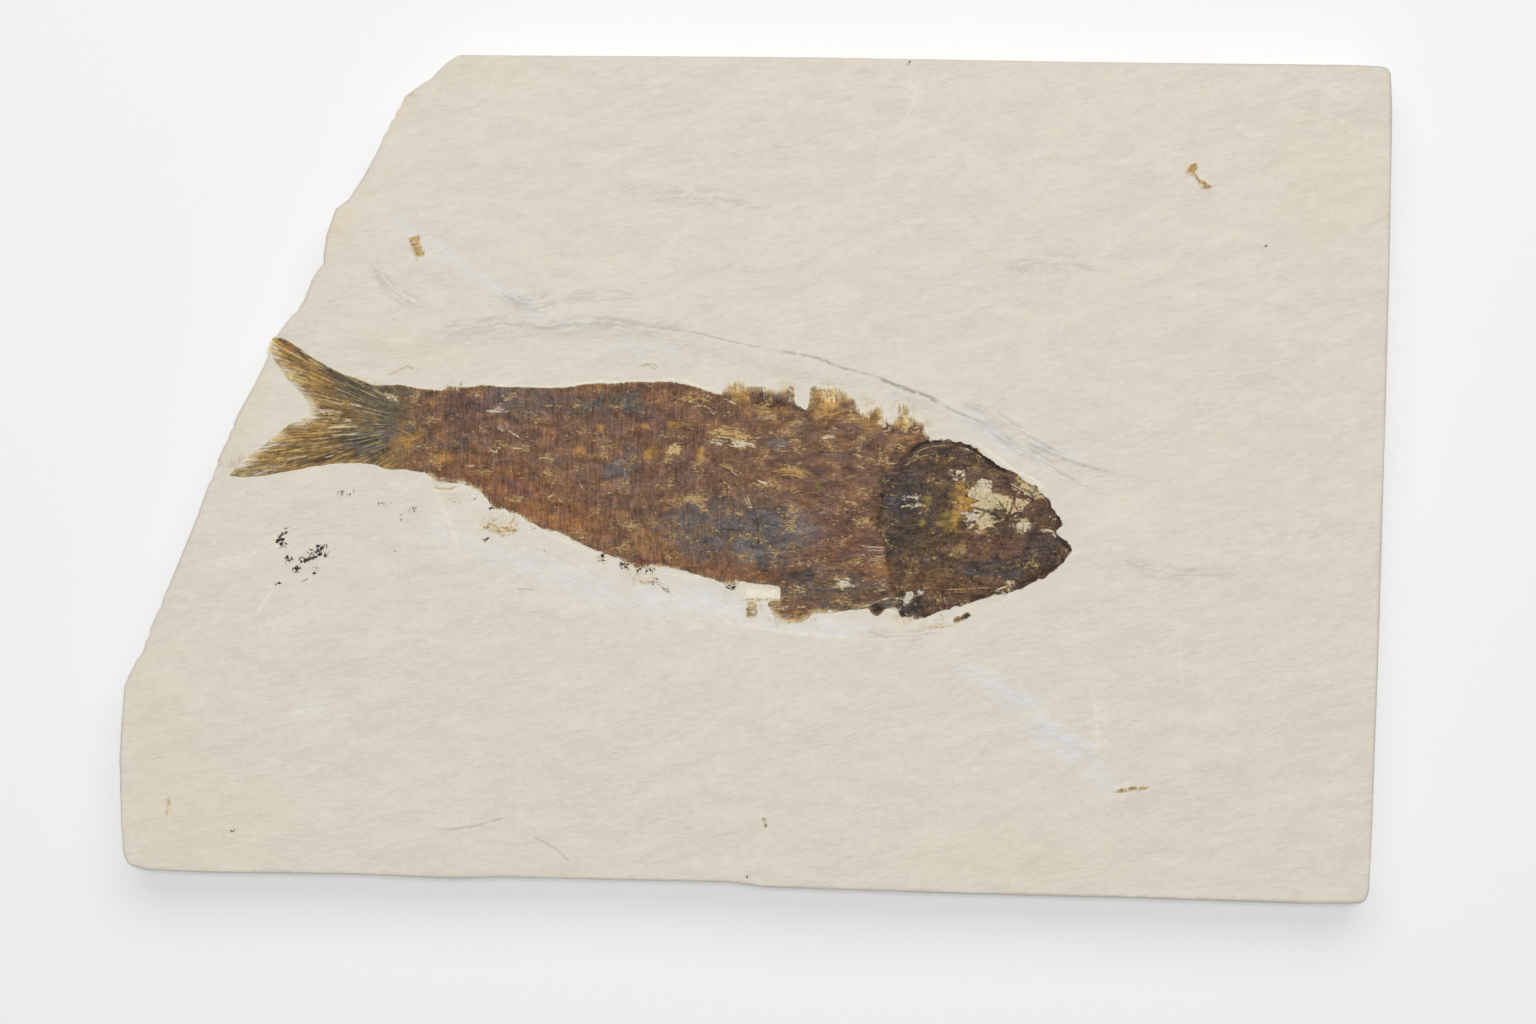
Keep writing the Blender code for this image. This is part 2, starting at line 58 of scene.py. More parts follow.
BASIN_TAPER = 12.0
WAVE_HEIGHT = 0.11
RIPPLE_HEIGHT = 0.13
CREASE_HEIGHT = 0.055
RIPPLE_TURN = np.radians(12.0)
ARRIS_DROP = 0.6
ARRIS_INSET = 0.5
FOOT_INSET = 0.8
FOOT_HEIGHT = 0.9
LEDGE_DEPTH = 0.9
LEDGE_HEIGHTS = (3.3, 6.3)
LEDGE_TREAD = 0.3
# The top bed steps in below this height, over this distance
TOP_BED_START, TOP_BED_BLEND = 9.4, 2.8
# Heights of the walls' rings above the upper ledge, between the ledges and below the lower one
HIGH_RINGS, MIDDLE_RINGS, LOW_RINGS = (8.9, 8.3, 7.7, 7.1), (5.7, 5.1, 4.5), (2.7, 2.1, 1.5)
TOE_HEIGHT = 0.35
TOE_SHARE = 0.45
ARRIS_ANGLES = (28.0, 54.0, 76.0)
SAWN_CHIPS, BROKEN_CHIPS = 0.05, 0.28
SAWN_ROUGHNESS, BROKEN_ROUGHNESS = 0.03, 0.22
FACE_CELLS = (320, 220)
FACE_CELL = 0.56

# The sides, clockwise seen from above. The three sawn sides are nearly straight.
TOP_SIDE = [(-41.6, 59.6), (4.8, 59.3), (48.3, 58.6), (84.1, 58.2), (87.9, 58.0), (88.8, 57.7)]
RIGHT_SIDE = [
    (89.2, 56.9), (89.4, 51.6), (89.0, 29.7), (87.7, -16.9), (86.6, -48.2), (86.1, -58.0),
    (85.7, -59.1),
]
BOTTOM_SIDE = [
    (84.9, -59.6), (76.4, -59.6), (55.3, -58.9), (27.2, -58.2), (1.3, -57.3), (-3.6, -56.6),
    (-35.9, -55.9), (-42.9, -56.1), (-56.3, -55.5), (-78.0, -55.2), (-85.9, -54.8), (-88.2, -54.1),
]
LEFT_SIDE = [(-88.9, -52.4), (-89.2, -47.4), (-89.4, -39.2), (-89.1, -34.0), (-88.7, -29.0)]
BROKEN_SIDE = [
    (-88.1, -27.6), (-86.0, -23.5), (-85.3, -21.5), (-83.9, -18.3), (-81.4, -12.4), (-78.6, -5.5),
    (-75.9, 1.9), (-72.6, 9.5), (-70.6, 13.0), (-68.8, 16.6), (-68.3, 18.0), (-67.3, 20.2),
    (-65.9, 22.1), (-63.5, 25.0), (-62.4, 28.0), (-60.8, 30.4), (-60.7, 31.8), (-60.3, 34.3),
    (-59.0, 38.0), (-57.2, 39.3), (-55.1, 42.5), (-53.6, 45.3), (-52.7, 47.0), (-52.2, 48.5),
    (-50.7, 51.4), (-49.9, 52.3), (-49.4, 53.7), (-47.9, 54.8), (-45.5, 56.4), (-44.0, 58.0),
    (-42.9, 58.9),
]
# The broken side's line, as a point and a direction out of the stone
BREAK_POINT = (-66.0, 15.0)
BREAK_OUTWARD = (-0.905, 0.425)
BREAK_REACH = 6.0
BREAK_FOOT = -29.0
LEDGE_PHASES = (0.4, 2.2, 4.3)

# The rims of the scraped basin above and below the fish, from left to right
BASIN_UPPER_RIM = [
    (-56.0, 17.0), (-44.3, 20.5), (-30.3, 22.1), (-16.3, 21.7), (2.3, 16.8), (17.7, 14.0),
    (25.6, 11.0), (36.2, 6.5), (45.6, 2.9), (58.0, 0.0),
]
BASIN_LOWER_RIM = [
    (-56.0, 0.0), (-45.7, -3.5), (-38.7, -9.2), (-31.7, -11.3), (-21.9, -14.1), (-7.9, -19.4),
    (4.2, -21.4), (17.7, -22.5), (25.0, -22.0), (34.3, -19.2), (45.0, -16.5), (58.0, -15.0),
]
# Long, low swells of the bedding: share of the height, cycles a metre along X and Y, and phase
SWELLS = [
    (1.0, 9.0, 21.0, 0.4), (0.8, -13.0, 34.0, 1.9), (0.6, 24.0, 47.0, 4.1), (0.5, -31.0, 58.0, 2.6),
    (0.4, 46.0, -39.0, 5.3),
]
# Lines on the stone: half width, strength, and the points that each follows
GREY_LINES = [
    (0.14, 0.35, [(-16.3, 21.7), (-12.8, 21.1), (-7.8, 20.4), (-2.9, 19.2), (2.3, 18.2)]),
    (0.22, 0.5, [(2.3, 18.2), (6.2, 17.5), (9.0, 16.9), (11.2, 15.9), (13.5, 15.3), (16.9, 14.4)]),
    (0.28, 0.7, [(16.9, 14.4), (18.5, 13.7), (20.2, 13.0), (22.5, 12.2), (24.2, 11.6), (26.0, 10.6)]),
    (0.21, 0.35, [(25.3, 10.9), (27.2, 9.9), (29.5, 8.9), (32.9, 7.5)]),
    (0.25, 0.3, [(37.3, 5.5), (40.4, 4.1), (43.2, 2.9), (46.6, 1.8), (50.5, 0.8)]),
    (0.14, 0.35, [(-44.2, -49.2), (-40.1, -48.8), (-37.3, -48.1), (-35.2, -47.4)]),
    (0.14, 0.3, [(-32.0, -49.8), (-29.6, -51.0), (-27.5, -52.4), (-25.8, -54.2)]),
    (0.13, 0.12, [
        (-36.2, -9.6), (-33.1, -9.2), (-29.6, -10.2), (-26.8, -11.6), (-24.0, -12.7), (-20.2, -14.0),
    ]),
    (0.13, 0.4, [(-33.5, -15.5), (-32.5, -15.4), (-31.1, -15.5)]),
]
PALE_LINES = [
    (0.18, 0.7, [(-70.0, -18.7), (-69.0, -17.2), (-67.9, -15.8)]),
    (0.28, 0.5, [
        (-7.8, -19.4), (-2.2, -20.4), (4.2, -21.4), (11.1, -22.1), (17.7, -22.5), (23.7, -22.2),
    ]),
    (0.31, 0.5, [(-45.7, -0.4), (-44.1, -3.6), (-42.7, -7.1), (-41.8, -9.6)]),
    (0.22, 0.4, [(46.9, -28.1), (47.7, -33.1), (48.0, -38.0)]),
    (0.22, 0.4, [(20.9, 50.5), (22.3, 53.3), (22.8, 56.1)]),
    (0.22, 0.3, [(59.5, -22.5), (59.9, -29.5)]),
    (0.17, 0.7, [
        (-40.1, 13.4), (-35.9, 13.2), (-30.3, 13.1), (-26.8, 13.1), (-24.4, 13.5), (-21.9, 13.8),
        (-19.8, 13.7), (-14.2, 14.0), (-12.3, 14.0), (-10.1, 13.8), (-7.8, 13.1), (-4.8, 12.3),
        (-3.4, 11.7),
    ]),
    (0.18, 0.55, [
        (-33.1, -6.5), (-29.6, -7.6), (-27.5, -8.4), (-25.4, -9.4), (-23.3, -10.2), (-21.6, -11.0),
    ]),
    (0.17, 0.5, [(-14.2, -13.1), (-9.2, -13.7), (-5.0, -14.1), (-2.0, -14.8)]),
    (0.84, 1.0, [(-1.7, -15.9), (0.9, -16.0), (3.2, -16.2)]),
    (0.22, 0.7, [(30.3, 5.4), (33.1, 3.6), (36.5, 1.2), (38.8, 0.1), (40.7, -1.5)]),
    (0.21, 0.6, [(-45.3, -1.3), (-43.6, -1.8), (-41.8, -1.5)]),
]
GREY_HAIRS = [
    (1.26, 0.3, [
        (-45.7, 20.4), (-40.1, 21.3), (-33.8, 22.0), (-27.5, 21.7), (-20.5, 22.1), (-14.9, 21.4),
        (-7.8, 20.1),
    ]),
    (1.26, 0.28, [(-54.2, 30.5), (-50.7, 26.3), (-47.1, 24.4)]),
    (1.12, 0.32, [(-36.2, 26.3), (-32.0, 24.6), (-28.1, 25.5)]),
    (0.98, 0.25, [(-27.5, 25.2), (-21.9, 25.8), (-16.3, 25.2)]),
    (0.84, 0.3, [(28.1, 11.2), (32.0, 9.6), (34.5, 8.2), (37.3, 6.7), (40.4, 5.1), (43.2, 3.9)]),
    (0.98, 0.3, [(32.2, 6.9), (36.5, 4.7), (41.3, 1.9), (46.3, -0.6)]),
    (0.98, 0.25, [(14.6, -21.1), (20.2, -22.0), (25.8, -21.4)]),
    (1.4, 0.2, [(51.1, -11.3), (59.5, -13.4), (67.9, -12.7)]),
    (1.68, 0.2, [(-14.9, 39.2), (-7.8, 39.8), (0.6, 38.7)]),
    (1.68, 0.2, [(34.3, 29.4), (41.3, 30.5), (48.3, 29.7)]),
]
OCHRE_LINES = [
    (0.25, 0.7, [(-82.8, -47.2), (-82.4, -45.8), (-82.5, -44.8)]),
    (0.21, 0.5, [(-52.2, 14.5), (-50.5, 15.1), (-48.8, 15.9), (-48.0, 15.2)]),
    (0.22, 0.5, [(-49.1, 53.5), (-48.1, 54.4)]),
    (0.17, 0.9, [(-45.2, -0.8), (-44.5, -1.3), (-42.9, -1.3), (-42.0, -0.9)]),
    (0.14, 0.6, [(-42.9, -2.9), (-42.1, -3.3), (-41.2, -3.2)]),
    (0.15, 0.8, [(-37.6, -4.3), (-36.9, -3.8), (-35.8, -4.0), (-36.5, -4.6)]),
    (0.17, 0.8, [(-38.3, -5.5), (-37.3, -6.0), (-36.3, -5.5)]),
    (0.18, 0.8, [(-38.6, -7.0), (-36.9, -6.9), (-36.2, -7.7), (-35.5, -8.2)]),
    (0.17, 0.8, [(-35.5, -8.2), (-35.2, -7.0), (-34.1, -5.8), (-34.0, -5.1)]),
    (0.15, 0.7, [(-33.5, -6.2), (-33.8, -7.2), (-33.0, -6.9)]),
    (0.17, 0.7, [(-22.3, -10.6), (-21.6, -11.2), (-21.4, -12.0)]),
    (0.13, 0.6, [(-20.9, -10.9), (-21.6, -11.3)]),
    (0.21, 0.8, [(-19.0, -11.7), (-18.2, -12.1), (-17.7, -12.8)]),
    (0.17, 0.9, [(-16.4, -12.5), (-15.4, -12.4), (-14.4, -12.6), (-14.4, -13.1)]),
    (0.2, 0.8, [(-16.8, -14.2), (-15.7, -14.6), (-14.0, -14.4), (-13.0, -15.4), (-12.1, -15.9)]),
    (0.18, 0.8, [(-2.1, -17.0), (-0.1, -16.9), (1.7, -16.9), (3.5, -16.9)]),
    (0.2, 0.6, [(-0.5, -17.2), (-0.3, -17.6)]),
    (0.17, 0.6, [(23.6, -20.7), (25.8, -20.8), (27.7, -20.4)]),
    (0.17, 0.6, [(25.8, -18.7), (26.4, -20.0)]),
]
# Soft washes on the stone: middle x and y, half length, half width, turn in degrees, strength
BLUISH_WASHES = [
    (-55.6, 38.5, 5.6, 1.4, -40, 0.5), (-45.7, 32.9, 8.4, 1.4, -35, 0.55),
    (-35.9, 26.6, 8.4, 1.8, -30, 0.6), (-27.5, 22.4, 8.4, 1.1, -10, 0.35),
    (34.3, -29.5, 8.4, 2.0, -25, 0.9), (42.7, -36.6, 7.0, 2.5, -38, 0.95),
    (48.3, -41.5, 5.6, 1.7, -35, 0.5), (34.3, 5.8, 7.9, 1.7, -30, 0.75),
    (41.3, 4.1, 8.4, 1.4, -20, 0.45), (18.8, 11.9, 8.4, 1.1, -18, 0.35),
    (-27.5, -13.4, 15.4, 2.5, -18, 0.7), (-7.8, -16.9, 12.6, 2.2, -12, 0.75),
    (9.0, -20.8, 12.6, 1.7, -6, 0.7), (-16.3, 18.2, 9.8, 2.0, 0, 0.35),
    (-40.1, -9.2, 7.0, 2.0, -15, 0.35),
]
WHITE_WASHES = [
    (-62.6, -32.4, 3.6, 1.1, 10, 0.6), (-78.0, -30.9, 2.8, 1.4, 60, 0.4),
    (82.0, 54.7, 3.6, 1.0, 0, 0.5), (22.3, 54.0, 1.4, 3.1, 0, 0.35), (-44.3, -6.4, 1.7, 5.1, 15, 0.5),
    (-33.1, -4.3, 8.4, 3.1, -25, 0.35), (48.0, -33.8, 1.4, 5.1, 0, 0.4),
    (55.3, -5.7, 8.4, 1.7, 0, 0.25), (-64.0, -19.7, 7.0, 2.0, 20, 0.25),
    (-73.1, -11.3, 4.2, 2.2, 0, 0.25), (-14.9, -18.3, 16.8, 2.0, -8, 0.4),
    (63.7, -33.8, 5.6, 1.1, -10, 0.25), (60.9, 26.6, 1.1, 4.2, 0, 0.25),
]
WARM_WASHES = [
    (-78.0, -47.8, 12.6, 7.0, 0, 0.4), (-83.6, -36.6, 5.6, 11.2, 0, 0.35),
    (-38.7, 57.5, 8.4, 2.2, 0, 0.4), (82.0, 42.0, 7.0, 8.4, 0, 0.25),
    (-57.7, 36.4, 2.0, 5.6, -30, 0.6), (-50.0, 51.9, 1.4, 4.2, -30, 0.5),
    (-72.4, 8.4, 8.4, 2.8, 65, 0.4), (34.3, -53.4, 16.8, 4.2, 0, 0.2),
    (-47.1, 18.2, 8.4, 2.0, -10, 0.25),
]
OCHRE_STAINS = [
    (-2.2, 12.8, 1.8, 1.1, 0, 0.4), (10.7, 12.3, 3.1, 1.3, 0, 0.45), (15.5, 10.6, 2.0, 1.1, 0, 0.5),
    (20.8, 10.0, 1.7, 1.3, 0, 0.45), (23.6, 7.5, 1.1, 1.4, 0, 0.45), (4.5, 12.8, 1.1, 1.1, 0, 0.4),
    (-0.5, -18.5, 1.3, 1.4, 0, 0.5), (-35.9, -6.0, 2.5, 1.4, -10, 0.4),
    (0.9, -15.5, 3.4, 1.3, 0, 0.22), (-42.7, -2.3, 1.7, 0.7, -10, 0.25),
    (-16.3, -14.1, 2.0, 1.0, -20, 0.4), (4.8, -19.3, 3.4, 1.0, 0, 0.7),
    (20.5, -19.7, 1.3, 0.8, 0, 0.6), (24.4, -20.7, 2.8, 0.4, 0, 0.4),
    (-53.9, 13.4, 2.8, 0.6, -15, 0.4), (-67.1, 19.9, 0.8, 0.7, 0, 0.3), (-72.4, 2.5, 3.1, 1.1, 8, 0.4),
]
SOOT_SPECKS = [
    (-66.1, -7.4, 0.6, 0.6, 0, 1.4), (-66.9, -8.4, 0.6, 0.5, 0, 1.5), (-66.5, -9.2, 0.6, 0.7, 0, 1.4),
    (-65.7, -11.2, 0.6, 0.8, 30, 1.3), (-64.4, -12.6, 0.8, 0.5, 50, 1.5),
    (-64.0, -11.3, 0.7, 0.7, 0, 1.0), (-63.0, -11.4, 0.8, 0.5, 10, 1.1),
    (-62.0, -10.7, 1.0, 0.6, -20, 1.1), (-61.2, -9.8, 0.7, 0.8, 0, 1.2),
    (-60.3, -10.7, 0.5, 0.6, 0, 1.0), (-60.5, -9.3, 0.6, 0.4, 0, 1.0), (-62.6, -10.2, 0.7, 0.5, 20, 0.8),
    (-62.0, -12.8, 0.7, 0.5, 30, 1.0), (-67.1, -14.5, 0.5, 0.6, -30, 1.3),
    (-63.3, -14.1, 0.5, 0.4, 0, 0.6), (-58.1, -1.8, 0.5, 0.5, 0, 1.0), (-56.8, -2.0, 0.8, 0.4, 10, 1.0),
    (-54.0, -2.0, 0.6, 0.4, 30, 0.6), (-52.6, -3.4, 0.5, 0.4, 0, 0.8), (-51.6, -3.6, 0.5, 0.4, 0, 0.8),
    (-48.1, -4.3, 0.5, 0.6, 0, 0.9), (-49.8, -5.3, 0.5, 0.5, 0, 0.7), (-50.8, -10.0, 0.6, 0.4, 0, 0.5),
    (-37.9, -8.4, 0.5, 0.4, 0, 1.8), (-31.4, -6.8, 0.5, 0.4, 0, 0.9), (-29.5, -9.6, 0.5, 0.4, 0, 0.8),
    (-43.1, 13.1, 0.7, 0.4, 0, 1.1), (-41.4, 13.5, 0.5, 0.4, 0, 1.0), (71.5, 32.8, 0.6, 0.4, 0, 0.9),
    (-73.4, -49.3, 0.5, 0.7, 0, 0.8), (-79.3, -9.2, 0.5, 0.4, -40, 0.9),
    (21.5, 58.5, 0.6, 0.4, 0, 0.9), (-1.4, -55.8, 0.5, 0.4, 0, 0.8),
    (-21.6, -11.0, 0.6, 0.8, 10, 1.15), (-18.4, -12.1, 1.0, 0.6, -30, 1.15),
    (-16.3, -12.7, 0.8, 0.6, 0, 1.1), (-14.9, -12.8, 1.0, 0.5, 0, 1.15),
    (-12.5, -15.6, 0.6, 0.5, -30, 1.0), (-14.2, -14.4, 0.8, 0.5, -20, 0.9),
    (-40.4, -2.5, 0.6, 0.4, 0, 0.7), (-39.4, -2.6, 0.5, 0.4, 0, 0.6), (-37.2, -4.0, 0.6, 0.4, 0, 0.7),
    (-38.2, -5.5, 0.5, 0.4, 0, 0.8), (-3.6, -14.8, 1.4, 0.8, -35, 1.3),
    (-0.4, -17.3, 0.5, 0.4, 0, 0.9), (-1.2, -16.9, 0.8, 0.4, 0, 0.8), (-16.0, 16.2, 1.1, 0.4, 0, 0.4),
]


def smooth_step(value, low, high):
    """0 below low, 1 above high, and an S-curve between."""
    share = np.clip((value - low) / (high - low), 0.0, 1.0)
    return share * share * (3.0 - 2.0 * share)


def lattice_noise(x, y, seed):
    """Smooth noise from -1 to 1: a fixed random value at each whole-number crossing, blended by S-curves."""
    column, row = np.floor(x), np.floor(y)

    def value(i, j):
        turn = np.sin(i * 127.1 + j * 311.7 + seed * 74.7) * 43758.5453
        return 2.0 * (turn - np.floor(turn)) - 1.0

    across, up = x - column, y - row
    across, up = across * across * (3.0 - 2.0 * across), up * up * (3.0 - 2.0 * up)
    low = value(column, row) * (1.0 - across) + value(column + 1, row) * across
    high = value(column, row + 1) * (1.0 - across) + value(column + 1, row + 1) * across
    return low * (1.0 - up) + high * up


def layered_noise(x, y, seed, layers=3):
    """Sum of lattice noises, each turned by 37 degrees, twice as fine and half as strong as the last."""
    total = np.zeros_like(x)
    cosine, sine = np.cos(np.radians(37.0)), np.sin(np.radians(37.0))
    strength = 1.0
    for layer in range(layers):
        total += strength * lattice_noise(x, y, seed + layer)
        x, y = 2.0 * (cosine * x - sine * y), 2.0 * (sine * x + cosine * y)
        strength *= 0.5
    return total


def swell(x, y):
    """Height of the bedding's long swells, as a sum of sine waves."""
    height = np.zeros_like(x)
    for share, across, up, phase in SWELLS:
        height += share * np.sin(2.0 * np.pi * (across * x + up * y) * MM + phase)
    return WAVE_HEIGHT * height


def basin(x, y):
    """1 on the floor of the scraped basin round the fish, 0 outside its rims."""
    upper = np.interp(x, *np.transpose(BASIN_UPPER_RIM))
    lower = np.interp(x, *np.transpose(BASIN_LOWER_RIM))
    across = smooth_step(upper - y, 0.0, BASIN_RIM) * smooth_step(y - lower, 0.0, BASIN_RIM)
    left, right = BASIN_ENDS
    return across * smooth_step(x - left, 0.0, BASIN_TAPER) * smooth_step(right - x, 0.0, BASIN_TAPER)


def ripple(x, y):
    """The split face's own low relief: layered noise drawn out along a line turned from X, and bent by
    a broader noise, so that its crests wander. The scraped basin has less of it."""
    cosine, sine = np.cos(RIPPLE_TURN), np.sin(RIPPLE_TURN)
    u, v = cosine * x + sine * y, cosine * y - sine * x
    u, v = u + 1.2 * lattice_noise(u / 4.0, v / 5.0, 15.0), v + 1.9 * lattice_noise(u / 10.0, v / 8.0, 5.0)
    height = RIPPLE_HEIGHT * layered_noise(u / 5.5, v / 2.9, 3.0, 2)
    height += CREASE_HEIGHT * layered_noise(u / 2.6, v / 1.4, 7.0, 3)
    return height * (1.0 - 0.6 * basin(x, y))


def stone_surface(x, y):
    """Height of the slab's split face: its thickness, swells and ripples, less the basin."""
    return SLAB_THICKNESS + swell(x, y) + ripple(x, y) - BASIN_DEPTH * basin(x, y)


def along(side, count):
    """The side's points spread evenly by length into count + 1 places."""
    side = np.array(side)
    reach = np.concatenate([[0.0], np.cumsum(np.linalg.norm(np.diff(side, axis=0), axis=1))])
    places = np.linspace(0.0, reach[-1], count + 1)
    return np.column_stack([np.interp(places, reach, side[:, 0]), np.interp(places, reach, side[:, 1])])


def outward_normals(loop, width=2):
    """Outward directions of a clockwise loop, each averaged with its neighbours on both sides."""
    step = np.roll(loop, -1, axis=0) - np.roll(loop, 1, axis=0)
    normal = np.column_stack([-step[:, 1], step[:, 0]])
    normal /= np.linalg.norm(normal, axis=1)[:, None]
    mean = sum(np.roll(normal, shift, axis=0) for shift in range(-width, width + 1))
    return mean / np.linalg.norm(mean, axis=1)[:, None]


def curve_through(points, steps=8):
    """A smooth line through the points: Catmull-Rom cubics, whose ends repeat the end points."""
    points = np.array(points)
    if len(points) == 2:
        return points
    padded = np.concatenate([points[:1], points, points[-1:]])
    t = np.linspace(0.0, 1.0, steps, endpoint=False)[:, None]
    runs = []
    for a, b, c, d in zip(padded, padded[1:], padded[2:], padded[3:]):
        bend = (2 * a - 5 * b + 4 * c - d) * t**2 + (3 * b - a - 3 * c + d) * t**3
        runs.append(0.5 * (2 * b + (c - a) * t + bend))
    return np.concatenate(runs + [points[-1:]])


LINE_REACH = 1.6
FAR_OFF = 9.0
LINE_ENDS = (-0.02, 0.15)
LEAST_INK = 0.25
WASH_FADE = (0.25, 1.35)


def line_field(x, y, lines, cell):
    """Signed distance to the nearest line in half widths, the length run along it, and its ink, which
    is its strength, faded at its ends and a mesh cell or two away from it.

    The distance keeps its sign from one side of a line to the other, so that it can be read
    between the mesh's points and still draw a line thinner than the mesh's cells.
    """
    across, run, ink = np.full_like(x, FAR_OFF), np.zeros_like(x), np.zeros_like(x)
    for half_width, strength, points in lines:
        path = curve_through(points)
        far = max(LINE_REACH, 1.7 * half_width)
        low, high = path.min(axis=0) - far, path.max(axis=0) + far
        near = np.flatnonzero((x > low[0]) & (x < high[0]) & (y > low[1]) & (y < high[1]))
        start, step = path[:-1], np.diff(path, axis=0)
        length = np.linalg.norm(step, axis=1)
        to_x, to_y = x[near, None] - start[:, 0], y[near, None] - start[:, 1]
        share = np.clip((to_x * step[:, 0] + to_y * step[:, 1]) / length**2, 0.0, 1.0)
        off_x, off_y = to_x - share * step[:, 0], to_y - share * step[:, 1]
        distance = np.hypot(off_x, off_y)
        nearest = distance.argmin(axis=1)
        rows = np.arange(len(near))
        side = np.sign(step[nearest, 0] * to_y[rows, nearest] - step[nearest, 1] * to_x[rows, nearest])
        signed = side * distance[rows, nearest] / half_width
        place = (nearest + share[rows, nearest]) / len(step)
        fade = np.maximum(smooth_step(place, *LINE_ENDS) * smooth_step(1.0 - place, *LINE_ENDS), LEAST_INK)
        fade *= 1.0 - smooth_step(distance[rows, nearest], cell, max(2.2 * cell, 1.6 * half_width))
        taken = (np.abs(signed) < np.abs(across[near])) & (distance[rows, nearest] < far)
        across[near[taken]] = signed[taken]
        reached = np.concatenate([[0.0], np.cumsum(length)])[nearest] + share[rows, nearest] * length[nearest]
        run[near[taken]] = reached[taken]
        ink[near[taken]] = (strength * fade)[taken]
    return across, run, ink


def wash_field(x, y, washes, wander=0.35, grain=2.2):
    """Strength of the soft washes: turned ellipses, each fading outwards, with a noisy edge."""
    total = np.zeros_like(x)
    edge = wander * layered_noise(x / grain, y / grain, 29.0)
    for middle_x, middle_y, length, width, turn, strength in washes:
        cosine, sine = np.cos(np.radians(turn)), np.sin(np.radians(turn))
        u, v = x - middle_x, y - middle_y
        reach = np.hypot((cosine * u + sine * v) / length, (cosine * v - sine * u) / width)
        total = np.maximum(total, strength * (1.0 - smooth_step(reach + edge, *WASH_FADE)))
    return total


def triangles_inside(loop_points, edges):
    """Triangles that fill the closed edges, over the points given and no others."""
    made = delaunay_2d_cdt([tuple(p) for p in loop_points.tolist()], edges.tolist(), [], 1, 1e-7)
    return np.array([[made[3][i][0] for i in face] for face in made[2]])


def add_piece(name, points, quads, triangles, material, sharp_angle=180.0):
    """A closed, smoothly shaded mesh at the origin, from points in millimetres and two arrays of faces."""
    mesh = bpy.data.meshes.new(name)
    mesh.from_pydata((points * MM).tolist(), [], quads.tolist() + triangles.tolist())
    mesh.materials.append(material)
    mesh.shade_smooth()
    if sharp_angle < 180.0:
        mesh.set_sharp_from_angle(angle=np.radians(sharp_angle))
    piece = bpy.data.objects.new(name, mesh)
    bpy.context.scene.collection.objects.link(piece)
    return piece


def give(piece, name, values):
    """Puts an array on the piece's points as an attribute: a number each, or a colour each."""
    colour = values.ndim == 2
    made = piece.data.attributes.new(name, "FLOAT_COLOR" if colour else "FLOAT", "POINT")
    if colour:
        values = np.column_stack([values, np.ones(len(values))])
    made.data.foreach_set("color" if colour else "value", values.astype(np.float32).ravel())


def give_bake_map(piece, uv):
    """Puts the piece's own layout for baked finishes on its corners."""
    layer = piece.data.uv_layers.new(name="OFBake")
    layer.data.foreach_set("uv", uv.astype(np.float32).ravel())


